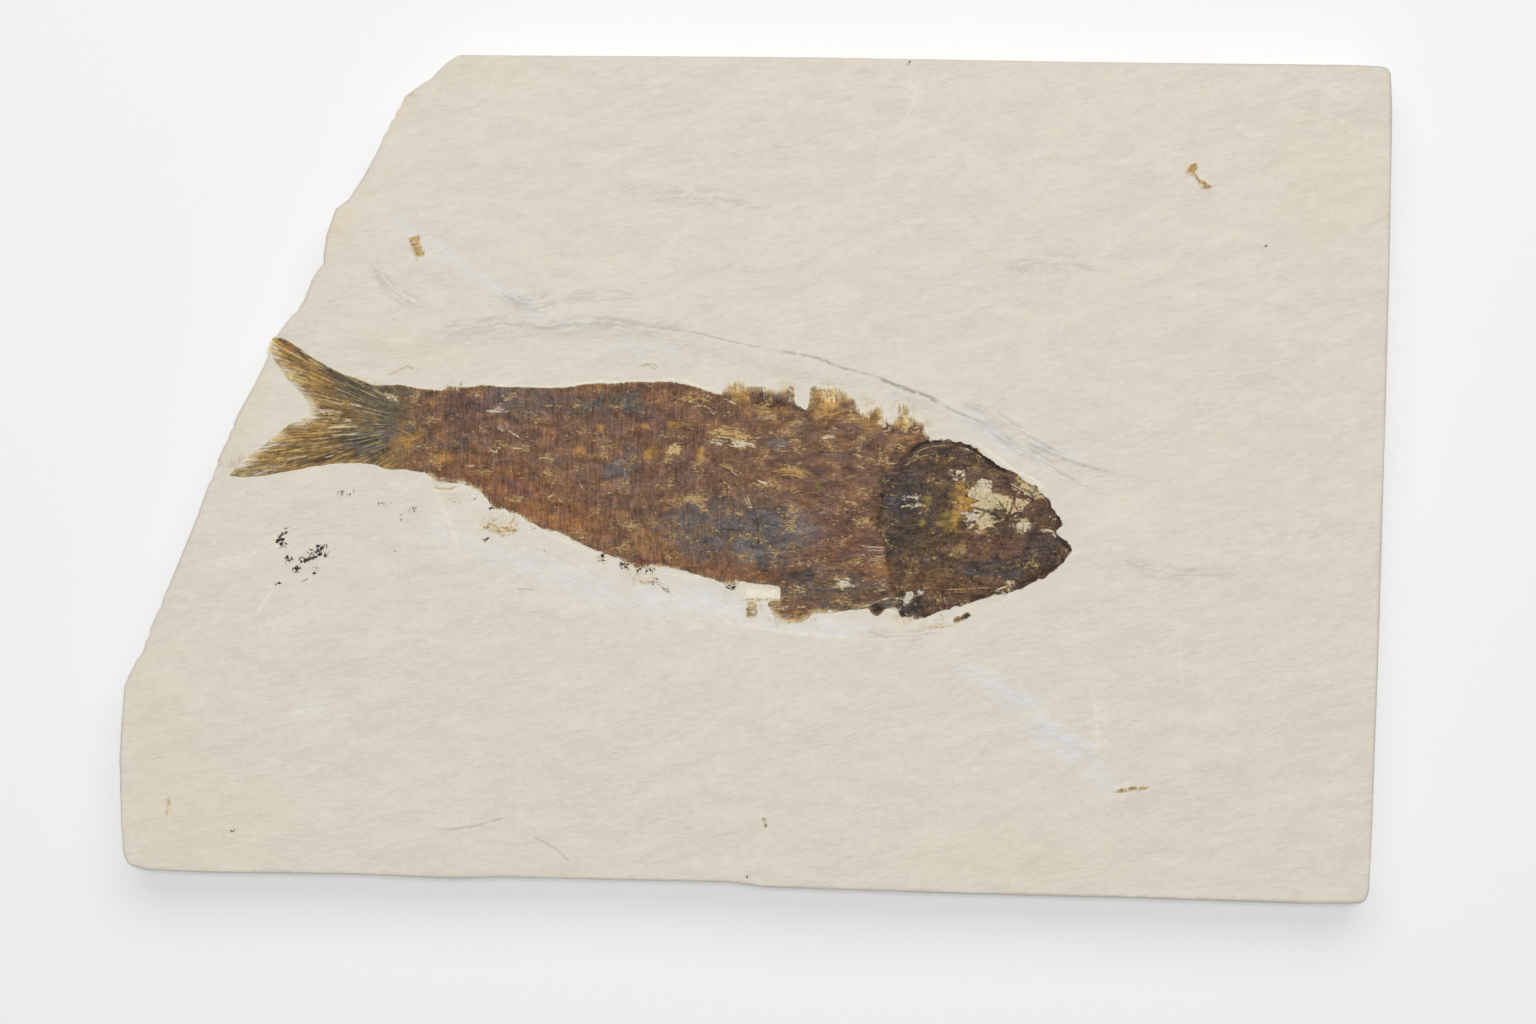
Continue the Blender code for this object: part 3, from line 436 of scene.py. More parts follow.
def make_slab_mesh():
    """Points and faces of the slab, with what each point needs to know for its colour.

    The split face is a Coons patch: each inner point is worked out from the four sides'
    points at its own row and column. Every ring below it follows the outline, set in by
    the arris's quarter ellipse, the ledges of the broken side, and the beds' fine noise.
    """
    across, up = FACE_CELLS
    top = along(TOP_SIDE + RIGHT_SIDE[:1], across)
    right = along(RIGHT_SIDE + BOTTOM_SIDE[:1], up)
    bottom = along(BOTTOM_SIDE + LEFT_SIDE[:1], across)
    left = along(LEFT_SIDE + BROKEN_SIDE + TOP_SIDE[:1], up)
    outline = np.concatenate([top[:-1], right[:-1], bottom[:-1], left[:-1]])
    count = len(outline)
    normal = outward_normals(outline)
    x, y = outline.T
    outward = (x - BREAK_POINT[0]) * BREAK_OUTWARD[0] + (y - BREAK_POINT[1]) * BREAK_OUTWARD[1]
    broken = smooth_step(outward, -BREAK_REACH, -BREAK_REACH / 2)
    broken = broken * smooth_step(y - BREAK_FOOT, 0.0, BREAK_REACH)
    chips = smooth_step(layered_noise(x / 1.7, y / 1.7, 51.0), 0.1, 1.3)
    outline = outline - normal * ((SAWN_CHIPS + BROKEN_CHIPS * broken) * chips)[:, None]

    def ring(inset, height):
        moved = outline - normal * np.reshape(inset, (-1, 1))
        return np.column_stack([moved, np.broadcast_to(height, count)])

    wear = ARRIS_INSET * (0.75 + 0.35 * lattice_noise(x / 6.0, y / 6.0, 17.0))
    face_edge = outline - normal * wear[:, None]
    edge_height = stone_surface(*face_edge.T)
    rings = []
    for angle in ARRIS_ANGLES:
        sine, cosine = np.sin(np.radians(angle)), np.cos(np.radians(angle))
        height = edge_height - (edge_height - SLAB_THICKNESS + ARRIS_DROP) * (1.0 - cosine)
        rings.append(ring(wear * (1.0 - sine), height))
    rings.append(ring(0.0, SLAB_THICKNESS - ARRIS_DROP))
    beds = []
    for phase in LEDGE_PHASES:
        wander = np.sin(0.31 * y + phase) + 0.6 * np.sin(0.83 * y - 0.4 * x + 2.0 * phase)
        beds.append(LEDGE_DEPTH * broken * smooth_step(wander, -0.5, 0.5))
    low, high = LEDGE_HEIGHTS
    levels = [*HIGH_RINGS, high + LEDGE_TREAD, high, *MIDDLE_RINGS, low + 2 * LEDGE_TREAD,
              low + LEDGE_TREAD, low, *LOW_RINGS, FOOT_HEIGHT]
    run = np.arange(count) * 0.5
    for level in levels:
        bed = beds[2] * smooth_step(TOP_BED_START - level, 0.0, TOP_BED_BLEND) if level > high else beds[1]
        bed = bed if level > low else beds[0]
        rough = smooth_step(layered_noise(run / 5.0, np.full(count, level / 0.5), 61.0), -0.8, 1.2)
        rings.append(ring(bed + (SAWN_ROUGHNESS + BROKEN_ROUGHNESS * broken) * rough, level))
    rings.append(ring(beds[0] + TOE_SHARE * FOOT_INSET * (1.0 + broken), TOE_HEIGHT))
    rings.append(ring(FOOT_INSET * (1.0 + broken), 0.0))

    # The Coons patch, its rows from the bottom side to the top side
    cut = np.cumsum([across, up, across])
    loop = np.concatenate([face_edge, face_edge[:1]])
    top_row, right_column = loop[: across + 1], loop[cut[0] : cut[1] + 1][::-1]
    bottom_row, left_column = loop[cut[1] : cut[2] + 1][::-1], loop[cut[2] :]
    u = np.linspace(0.0, 1.0, across + 1)[None, :, None]
    v = np.linspace(0.0, 1.0, up + 1)[:, None, None]
    rows = (1 - v) * bottom_row[None] + v * top_row[None]
    columns = (1 - u) * left_column[:, None] + u * right_column[:, None]
    low_edge = (1 - u) * bottom_row[0] + u * bottom_row[-1]
    high_edge = (1 - u) * top_row[0] + u * top_row[-1]
    face = rows + columns - (1 - v) * low_edge - v * high_edge
    face = face.reshape(-1, 2)
    index = np.arange(len(face)).reshape(up + 1, across + 1)
    cells = np.stack([index[:-1, :-1], index[:-1, 1:], index[1:, 1:], index[1:, :-1]], axis=-1)
    border = np.concatenate([index[-1, :-1], index[:0:-1, -1], index[0, :0:-1], index[:-1, 0]])
    points = [np.column_stack([face, stone_surface(*face.T)])] + rings
    loops = [border] + [len(face) + k * count + np.arange(count) for k in range(len(rings))]
    walls = []
    for upper, lower in zip(loops, loops[1:]):
        walls.append(np.column_stack([upper, np.roll(upper, -1), np.roll(lower, -1), lower]))
    foot = rings[-1][:, :2]
    around = np.column_stack([np.arange(count), np.roll(np.arange(count), -1)])
    under = loops[-1][triangles_inside(foot, around)][:, ::-1]
    return {
        "points": np.concatenate(points),
        "cells": cells.reshape(-1, 4),
        "walls": np.concatenate(walls),
        "under": under,
        "loops": loops,
        "face_count": len(face),
        "sides": np.repeat(np.arange(4), [across, up, across, up]),
        "side_lengths": np.array([across, up, across, up]),
        "broken": broken,
    }


def add(tree, kind, inputs=None, **settings):
    """A node with its settings, its inputs filled by values or joined to sockets."""
    made = tree.nodes.new(kind)
    for key, value in settings.items():
        setattr(made, key, value)
    for key, value in (inputs or {}).items():
        if isinstance(value, bpy.types.NodeSocket):
            tree.links.new(value, made.inputs[key])
        else:
            made.inputs[key].default_value = value
    return made


def maths(tree, operation, *values):
    """The result socket of a Math node."""
    return add(tree, "ShaderNodeMath", dict(enumerate(values)), operation=operation).outputs[0]


def times(tree, value, factor):
    """The product of two values, each a number or a socket."""
    return maths(tree, "MULTIPLY", value, factor)


def scaled(tree, value, factor, offset):
    """The value times the factor, plus the offset."""
    return maths(tree, "MULTIPLY_ADD", value, factor, offset)


def blend(tree, share, below, above, mode="MIX"):
    """The colour socket of a Mix node: below where the share is 0, above where it is 1.0"""
    inputs = {0: share, 6: below, 7: above}
    return add(tree, "ShaderNodeMix", inputs, data_type="RGBA", blend_type=mode).outputs[2]


def ramp(tree, value, low, high, to_low=0.0, to_high=1.0):
    """The socket of a Map Range node with an S-curve between its ends."""
    inputs = {"Value": value, "From Min": low, "From Max": high, "To Min": to_low, "To Max": to_high}
    return add(tree, "ShaderNodeMapRange", inputs, interpolation_type="SMOOTHSTEP").outputs[0]


def read(tree, name, kind="Fac"):
    """The socket of a number, Color or Vector that the mesh's points carry."""
    return add(tree, "ShaderNodeAttribute", attribute_name=name).outputs[kind]


def stretched_noise(tree, place, stretch, detail=3.0, roughness=0.55, shift=0.0, bend=0.0):
    """The socket of a noise whose place is stretched along each axis, and bent, before it is read. A
    stretch of two numbers makes a noise of X and Y alone."""
    flat = len(stretch) == 2
    inputs = {"Location": (shift, shift, shift), "Scale": (*stretch, 1.0)[:3], "Vector": place}
    moved = add(tree, "ShaderNodeMapping", inputs).outputs[0]
    inputs = {"Vector": moved, "Scale": 1.0, "Detail": detail, "Roughness": roughness, "Distortion": bend}
    return add(tree, "ShaderNodeTexNoise", inputs, noise_dimensions="2D" if flat else "3D").outputs["Fac"]


def millimetres(tree):
    """The socket of the place on the piece, in millimetres."""
    place = add(tree, "ShaderNodeTexCoord").outputs["Object"]
    inputs = {0: place, "Scale": 1000.0}
    return add(tree, "ShaderNodeVectorMath", inputs, operation="SCALE").outputs[0]


def linear(code):
    """A colour as linear red, green, blue and alpha, from its six-digit code."""
    parts = np.array([int(code[k : k + 2], 16) for k in (0, 2, 4)]) / 255.0
    parts = np.where(parts <= 0.04045, parts / 12.92, ((parts + 0.055) / 1.055) ** 2.4)
    return (*parts.tolist(), 1.0)


def new_group(name, inputs, outputs):
    """An empty shader group with its named sockets, and its inner nodes for them."""
    tree = bpy.data.node_groups.new(name, "ShaderNodeTree")
    for socket, kind in inputs:
        tree.interface.new_socket(socket, in_out="INPUT", socket_type=kind)
    for socket in outputs:
        tree.interface.new_socket(socket, in_out="OUTPUT", socket_type="NodeSocketFloat")
    return tree, tree.nodes.new("NodeGroupInput").outputs, tree.nodes.new("NodeGroupOutput").inputs


def make_grain_group():
    """Fine limestone grain: bedding traces drawn out nearly along X, torn fibres and mud grain over
    them. Shade is about 1, and Height is in millimetres. The traces' share of Shade is partly
    painted shade, standing in for the shading of the face's ripples."""
    tree, given, out = new_group("limestone_grain", [("Place", "NodeSocketVector")], ["Shade", "Height"])
    inputs = {"Vector": given["Place"], "Rotation": (0.0, 0.0, -RIPPLE_TURN)}
    place = add(tree, "ShaderNodeMapping", inputs).outputs[0]
    traces = stretched_noise(tree, place, (0.15, 0.38, 0.5), 4.0, 0.6, 0.0, 1.0)
    fibres = stretched_noise(tree, place, (0.5, 1.3, 0.9), 4.0, 0.66, 17.0)
    grain = stretched_noise(tree, place, (2.2, 3.4, 2.4), 2.0, 0.65, 5.0)
    # The traces darken and lighten the colour along the ripples: partly the stone's grain, partly painted
    # shade of its relief
    shade = scaled(tree, traces, 0.22, 0.815)
    shade = scaled(tree, fibres, 0.12, shade)
    shade = scaled(tree, grain, 0.06, shade)
    height = scaled(tree, fibres, 0.24, times(tree, grain, 0.03))
    tree.links.new(shade, out["Shade"])
    tree.links.new(height, out["Height"])
    return tree


LIMESTONE_GRAIN = make_grain_group()
SMEAR_TURN = np.radians(28.0)
STONE_BUFF = linear("DCD5C8")
STONE_DULL = linear("D9D1C2")
STONE_WARM = linear("DDD0B6")
STONE_PALE = linear("E6E3DC")
STONE_BLUISH = linear("DADBDD")
LINE_GREY = linear("8B867E")
LINE_CREAM = linear("ECE5D2")
OCHRE_STAIN = linear("B5975F")
SPECK_BLACK = linear("2B2420")
# Grey of the upper edges: partly wear, partly painted shade on the sides away from the light
ARRIS_GREY_AND_SHADE = linear("C4C0B8")
BED_BROWN = linear("C4B294")
BED_CREAM = linear("E2DACA")


def drawn_line(tree, name, place_noise, breakup, low, high):
    """How strongly the named line shows: 1 at its middle, 0 past its width, broken up by noise."""
    off = maths(tree, "ABSOLUTE", maths(tree, "ADD", read(tree, name + "_across"), place_noise))
    shown = maths(tree, "SUBTRACT", 1.0, ramp(tree, off, 0.3, 1.5))
    shown = times(tree, shown, read(tree, name + "_ink"))
    return times(tree, shown, ramp(tree, breakup, low, high))


def hair_bundle(tree, name, place_noise):
    """How strongly a bundle of hair cracks shows that runs along the named line, as noise drawn out
    along the line and fading past its width."""
    across = maths(tree, "ADD", read(tree, name + "_across"), place_noise)
    run = times(tree, read(tree, name + "_run"), 0.22)
    place = add(tree, "ShaderNodeCombineXYZ", {0: times(tree, across, 2.2), 1: run}).outputs[0]
    hairs = stretched_noise(tree, place, (1.0, 1.0), 3.0, 0.6)
    shown = maths(tree, "SUBTRACT", 1.0, ramp(tree, maths(tree, "ABSOLUTE", across), 0.2, 1.6))
    shown = times(tree, shown, read(tree, name + "_ink"))
    return times(tree, shown, ramp(tree, hairs, 0.38, 0.64))


def make_limestone():
    """Buff limestone: washes and lines over the grain, beds on the walls, and arrises painted grey, for wear
    all round and as painted shade on the sides away from the light.
    """
    material = bpy.data.materials.new("buff_limestone_finish")
    material.use_nodes = True
    tree = material.node_tree
    shader = tree.nodes["Principled BSDF"]
    place = millimetres(tree)
    grain = add(tree, "ShaderNodeGroup", node_tree=LIMESTONE_GRAIN)
    tree.links.new(place, grain.inputs["Place"])
    wobble = stretched_noise(tree, place, (0.9, 0.9), 3.0, 0.6, 31.0)
    inputs = {"Vector": place, "Rotation": (0.0, 0.0, SMEAR_TURN)}
    smeared = add(tree, "ShaderNodeMapping", inputs).outputs[0]
    streaks = stretched_noise(tree, smeared, (0.28, 1.7), 4.0, 0.65, 43.0, 0.5)
    specks = stretched_noise(tree, place, (3.1, 3.1), 2.0, 0.5, 71.0)
    squiggles = stretched_noise(tree, place, (2.3, 2.3), 3.0, 0.6, 77.0, 0.9)
    brushed = stretched_noise(tree, place, (3.4, 0.8), 3.0, 0.6, 79.0)
    shift = scaled(tree, wobble, 1.6, -0.8)

    colour = blend(tree, ramp(tree, wobble, 0.2, 0.8), STONE_BUFF, STONE_DULL)
    colour = blend(tree, read(tree, "warm"), colour, STONE_WARM)
    pale = times(tree, read(tree, "pale"), ramp(tree, streaks, 0.25, 0.65))
    colour = blend(tree, pale, colour, STONE_PALE)
    bluish = times(tree, read(tree, "bluish"), ramp(tree, streaks, 0.3, 0.62))
    colour = blend(tree, bluish, colour, STONE_BLUISH)
    stain = times(tree, read(tree, "stain"), ramp(tree, brushed, 0.36, 0.62))
    colour = blend(tree, stain, colour, OCHRE_STAIN)
    grey = drawn_line(tree, "grey", shift, wobble, 0.15, 0.55)
    grey = maths(tree, "MAXIMUM", grey, hair_bundle(tree, "hairs", times(tree, shift, 0.5)))
    colour = blend(tree, grey, colour, LINE_GREY)
    cream = drawn_line(tree, "cream", shift, streaks, 0.2, 0.6)
    colour = blend(tree, cream, colour, LINE_CREAM)
    ochre = drawn_line(tree, "ochre", shift, specks, 0.32, 0.6)
    colour = blend(tree, ochre, colour, OCHRE_STAIN)
    black = scaled(tree, read(tree, "soot"), 0.3, squiggles)
    black = times(tree, ramp(tree, black, 0.7, 0.77), ramp(tree, read(tree, "soot"), 0.05, 0.3))
    colour = blend(tree, black, colour, SPECK_BLACK)

    beds = stretched_noise(tree, place, (0.02, 0.02, 2.6), 4.0, 0.7, 3.0)
    wall = blend(tree, ramp(tree, beds, 0.35, 0.65), BED_BROWN, BED_CREAM)
    colour = blend(tree, read(tree, "wall"), colour, wall)
    # The arrises' grey: wear, and painted shade on the sides away from the light
    colour = blend(tree, read(tree, "arris"), colour, ARRIS_GREY_AND_SHADE)
    # The grain's Shade multiplies the colour: mostly grain, and in part painted shade of the ripples
    colour = blend(tree, 1.0, colour, grain.outputs["Shade"], "MULTIPLY")
    tree.links.new(colour, shader.inputs["Base Color"])
    rough = scaled(tree, streaks, 0.14, 0.74)
    tree.links.new(scaled(tree, black, -0.2, rough), shader.inputs["Roughness"])
    height = scaled(tree, times(tree, beds, read(tree, "wall")), 0.12, grain.outputs["Height"])
    height = scaled(tree, grey, -0.03, height)
    bump = add(tree, "ShaderNodeBump", {"Strength": 1.0, "Distance": MM, "Height": height})
    tree.links.new(bump.outputs[0], shader.inputs["Normal"])
    shader.inputs["Specular IOR Level"].default_value = 0.3
    return material


slab_mesh = make_slab_mesh()
slab = add_piece(
    "dressed_limestone_slab", slab_mesh["points"],
    np.concatenate([slab_mesh["cells"], slab_mesh["walls"]]), slab_mesh["under"], make_limestone(), 50.0,
)
stone_x, stone_y = slab_mesh["points"][:, :2].T
on_face = np.arange(len(stone_x)) < slab_mesh["face_count"]
stone_lines = {"grey": GREY_LINES, "hairs": GREY_HAIRS, "cream": PALE_LINES, "ochre": OCHRE_LINES}
for line_name, lines in stone_lines.items():
    line_across, line_run, line_ink = line_field(stone_x, stone_y, lines, FACE_CELL)
    give(slab, line_name + "_across", line_across)
    give(slab, line_name + "_ink", np.where(on_face, line_ink, 0.0))
    if lines is GREY_HAIRS:
        give(slab, line_name + "_run", line_run)
for wash_name, washes in (("bluish", BLUISH_WASHES), ("pale", WHITE_WASHES), ("warm", WARM_WASHES)):
    give(slab, wash_name, wash_field(stone_x, stone_y, washes))
give(slab, "stain", wash_field(stone_x, stone_y, OCHRE_STAINS, 0.5, 0.9))
give(slab, "soot", wash_field(stone_x, stone_y, SOOT_SPECKS, 0.0))
# The arris is painted grey: a little all round for wear, and most towards the slab's lower right as painted
# shade, where its rounding turns away from the light
away_from_light = smooth_step(stone_x - 0.4 * stone_y, 20.0, 60.0)
arris, wall_share = np.zeros(len(stone_x)), np.zeros(len(stone_x))
for ring_number, ring_points in enumerate(slab_mesh["loops"]):
    wall_share[ring_points] = smooth_step(ring_number, 1.0, 5.0)
    worn_rings = smooth_step(ring_number, -1.0, 2.0) * (1.0 - smooth_step(ring_number, 3.0, 5.0))
    arris[ring_points] = 0.55 * worn_rings
give(slab, "wall", wall_share)
give(slab, "arris", arris * (0.25 + 0.75 * away_from_light))


def slab_bake_map():
    """The split face over most of the square, one strip for each side, and the underside squashed below."""
    points, loops = slab_mesh["points"], slab_mesh["loops"]
    flat = points[:, :2] / SLAB_SIZE + 0.5
    left, width = 0.015, 0.97
    strips_foot, strip_pitch, strip_height = 0.14, 0.064, 0.05
    face_uv = flat * (width, 0.58) + (left, 0.405)
    under_uv = flat * (width, 0.11) + (left, 0.01)
    count, levels = len(loops[0]), len(loops)
    starts = np.concatenate([[0], np.cumsum(slab_mesh["side_lengths"])[:-1]])
    side = slab_mesh["sides"]
    local = (np.arange(count) - starts[side]) / slab_mesh["side_lengths"][side]
    step = 1.0 / slab_mesh["side_lengths"][side]
    start_u, end_u = left + width * local, left + width * (local + step)
    wall_uv = []
    for level in range(levels - 1):
        high = strips_foot + strip_pitch * side + strip_height * (1.0 - level / (levels - 1))
        low = strips_foot + strip_pitch * side + strip_height * (1.0 - (level + 1) / (levels - 1))
        corners = [start_u, high, end_u, high, end_u, low, start_u, low]
        wall_uv.append(np.column_stack(corners).reshape(-1, 2))
    parts = [face_uv[slab_mesh["cells"].ravel()], *wall_uv, under_uv[slab_mesh["under"].ravel()]]
    return np.concatenate(parts)


give_bake_map(slab, slab_bake_map())
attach(slab, "root")
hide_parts("limestone_slab")

# ---------------------------------------------------------------------------------------
# The fossil fish. A herring pressed to a film of bone and scale, brown and rust with
# blue-grey and golden blooms, its head a dark plate and its tail a fan of fine rays. The
# film lies in the basin and its ragged edges thin out into the stone.
# ---------------------------------------------------------------------------------------
FISH_OUTLINE = [
    # tail, upper lobe
    (-67.3, 20.2), (-64.8, 19.0), (-62.7, 17.4), (-60.5, 16.0), (-58.0, 14.8), (-55.3, 13.8),
    (-53.5, 13.1), (-50.2, 13.3), (-48.5, 12.9), (-46.5, 12.6), (-44.2, 12.5),
    # back
    (-43.6, 13.4), (-41.0, 13.0), (-38.3, 13.2), (-35.5, 12.9), (-30.3, 12.8), (-26.9, 12.8),
    (-24.4, 13.2), (-22.2, 13.4), (-19.8, 13.3), (-18.4, 13.6), (-14.2, 13.6), (-12.3, 13.7),
    (-10.2, 13.4), (-8.2, 12.8), (-6.5, 12.2), (-4.8, 11.8),
    # dorsal fin
    (-4.6, 12.4), (-4.4, 14.2), (-2.9, 14.6), (-1.4, 14.2), (-0.9, 13.1), (1.0, 13.4),
    (3.0, 12.9), (3.8, 13.3), (5.3, 13.3), (5.6, 12.0), (5.4, 10.7), (6.5, 9.9), (7.3, 9.5),
    (7.4, 12.8), (8.0, 13.4), (12.0, 13.5), (13.0, 12.3), (14.0, 11.0), (15.2, 9.8),
    (15.8, 10.7), (18.0, 10.9), (18.6, 9.4), (18.8, 8.0), (19.2, 8.2), (19.4, 11.0),
    (21.5, 11.1), (22.3, 9.6), (23.5, 7.9), (24.6, 6.1),
    # head
    (24.9, 5.4), (27.5, 5.4), (28.6, 5.4), (30.8, 4.3), (32.2, 3.3), (33.5, 2.2),
    (36.3, 0.8), (39.0, -0.9), (41.4, -2.9), (41.5, -4.1), (42.9, -5.8), (42.8, -7.0),
    (42.0, -7.5), (43.4, -8.5), (44.2, -9.5), (44.0, -10.6), (42.9, -12.2), (41.4, -13.2),
    (39.3, -14.4), (37.3, -15.4), (34.8, -16.3), (31.7, -17.1), (29.6, -17.6), (26.3, -18.4),
    (23.3, -19.6), (21.8, -19.7), (20.2, -19.3), (19.4, -18.3), (18.6, -18.0),
    # belly
    (17.3, -19.2), (16.2, -18.9), (15.9, -18.0), (14.6, -18.2), (12.6, -18.6), (10.3, -19.1),
    (8.3, -18.9), (7.3, -19.8), (5.5, -20.7), (3.1, -20.2), (1.8, -18.5), (1.5, -17.1),
    (2.9, -17.0), (3.4, -16.9), (3.5, -16.4), (3.5, -15.5), (3.4, -15.1), (2.9, -14.9), (0.7, -14.7),
    (-2.0, -14.3), (-2.7, -15.4), (-3.7, -15.5),
    (-5.0, -14.2), (-7.4, -13.6), (-9.7, -12.9), (-11.6, -12.5), (-14.4, -12.4), (-16.5, -12.9),
    (-18.9, -11.6), (-20.8, -10.9), (-22.2, -10.0), (-24.1, -9.3), (-26.0, -8.5), (-27.7, -7.6),
    (-31.8, -6.4), (-33.5, -5.7), (-36.9, -4.4), (-37.9, -3.2), (-39.4, -1.8), (-40.9, -1.1),
    (-43.1, -0.7), (-45.2, -0.4), (-46.0, 0.5), (-47.4, 1.0), (-49.2, 1.5), (-51.4, 1.4),
    (-52.6, 1.7),
    # tail, lower lobe and fork
    (-53.9, 2.2), (-58.0, 2.3), (-60.3, 2.1), (-65.2, 1.2), (-69.7, 0.2), (-74.7, 0.0),
    (-73.1, 1.9), (-71.6, 3.4), (-69.2, 5.1), (-67.0, 6.7), (-65.0, 8.3), (-63.1, 8.9),
    (-62.8, 9.7), (-63.4, 11.4), (-65.0, 12.8), (-66.3, 14.3), (-67.1, 15.6), (-68.1, 17.0),
    (-68.4, 18.2),
]
FILM_CELL = 0.18
FILM_EDGE = 0.26
RIM_DROP = 0.25
THIN_FILM = 0.1
FILM_FLOOR = 9.0
BODY_DOME = 0.5
BODY_DOME_REACH = 7.0
HEAD_STEP = 0.28
HEAD_DOME = 0.2
HEAD_DOME_REACH = 5.0
HEAD_EDGE = 0.8
ORBIT_DEPTH = 0.36
ORBIT_CENTRE = (34.0, -4.6)
ORBIT_RADII = (3.6, 2.4)
JAW_LINE = [(42.5, -7.4), (34.0, -8.6)]
JAW_GROOVE_DEPTH = 0.25
JAW_GROOVE_WIDTH = 0.7
RAY_ROOT = (-45.0, 7.4)
RAY_ANGLES = (146.0, 196.0)
RAY_COUNT = 14
RAY_HEIGHT = 0.14
TAIL_END = -50.5
TAIL_BLEND = 4.0
# Where the paint of the rays begins, and how far it takes to come in
RAY_PAINT_END = -46.0
RAY_PAINT_BLEND = 9.0
GILL_EDGE = [(23.7, 5.5), (19.9, 2.5), (17.4, -2.9), (17.3, -5.7), (18.3, -11.6), (19.8, -17.5)]
GILL_STEP = (-0.3, 0.5)
# Tufts of fin rays and frayed edges, where the film is thin: x, y, half length, half width, turn, share
TUFTED = [
    (-2.6, 13.4, 2.6, 2.8, 0, 1.0), (2.4, 12.1, 4.0, 2.4, 0, 0.85), (10.6, 12.0, 3.8, 2.8, 0, 1.0),
    (15.6, 9.6, 2.6, 2.2, 0, 1.0), (18.4, 9.6, 3.2, 2.6, 0, 1.0), (21.4, 9.2, 2.8, 3.2, 0, 1.0),
    (24.0, 6.4, 1.6, 1.6, 0, 0.7), (4.2, -19.2, 4.4, 2.4, 0, 0.75), (9.2, -18.8, 4.6, 1.6, 0, 0.65),
]
FRAYED = [
    (-44.6, 0.0, 3.0, 1.3, -15, 0.6), (-40.0, -2.0, 4.0, 2.0, -35, 1.0), (-34.4, -5.2, 4.0, 1.8, -22, 1.0),
    (-27.0, -8.0, 3.0, 0.9, -25, 0.5), (-19.0, -11.8, 3.6, 1.2, -20, 0.8), (-14.6, -12.6, 3.4, 1.0, 0, 0.8),
    (-3.2, -14.9, 1.8, 1.4, 0, 0.8), (-70.0, 3.6, 7.4, 3.8, 35, 0.85), (-65.8, 13.6, 5.0, 4.2, -45, 0.85),
    (-62.6, 9.0, 3.6, 3.8, 0, 1.0), (-67.6, 17.4, 1.6, 2.0, 0, 0.8), (21.0, -18.8, 3.2, 1.6, 0, 0.6),
    (33.0, -16.9, 6.0, 1.0, 15, 0.5), (-43.0, 13.2, 4.0, 1.0, 0, 0.6),
]
# What the film's blooms are painted with. The crust's paints cover in flecks.
CRUST_PAINTS = (
    "cream", "bone", "shell", "wheat", "straw", "sand", "pink_grey", "pale_gold", "taupe", "khaki",
)
PAINTS = {
    "skull": "6A5140", "crumb": "BB9F6E", "ray_gold": "9A7B46", "ray_brown": "795D3A",
    "ray_slate": "5D584A", "brown": "785945", "umber": "5A4030", "dark_brown": "47342A",
    "umber_black": "4A3C32", "rust": "7F553B", "orange": "93673F", "amber": "A57B40", "gold": "B88A41",
    "pale_gold": "CDAE6A", "ochre": "B58D4E", "straw": "CDB27C", "marigold": "A67C3E",
    "olive_gold": "8B7A40", "olive": "7F7540", "olive_brown": "5F5236", "khaki": "A58B5C",
    "sand": "B59C74", "taupe": "8E7C68", "wheat": "D5C39A", "shell": "D3CBB6", "cream": "DCCFB0",
    "bone": "D2C9B8", "pink_grey": "B5A196", "mauve": "715550", "maroon": "66463B", "plum": "5E4740",
    "plum_black": "514442", "violet_black": "4B4443", "slate_violet": "5C5858", "grey_brown": "63564C",
    "slate_brown": "584F48", "slate": "56564F", "slate_blue": "535559", "blue_grey": "6A6B71",
    "charcoal": "433D39", "soot": "2A2420",
}
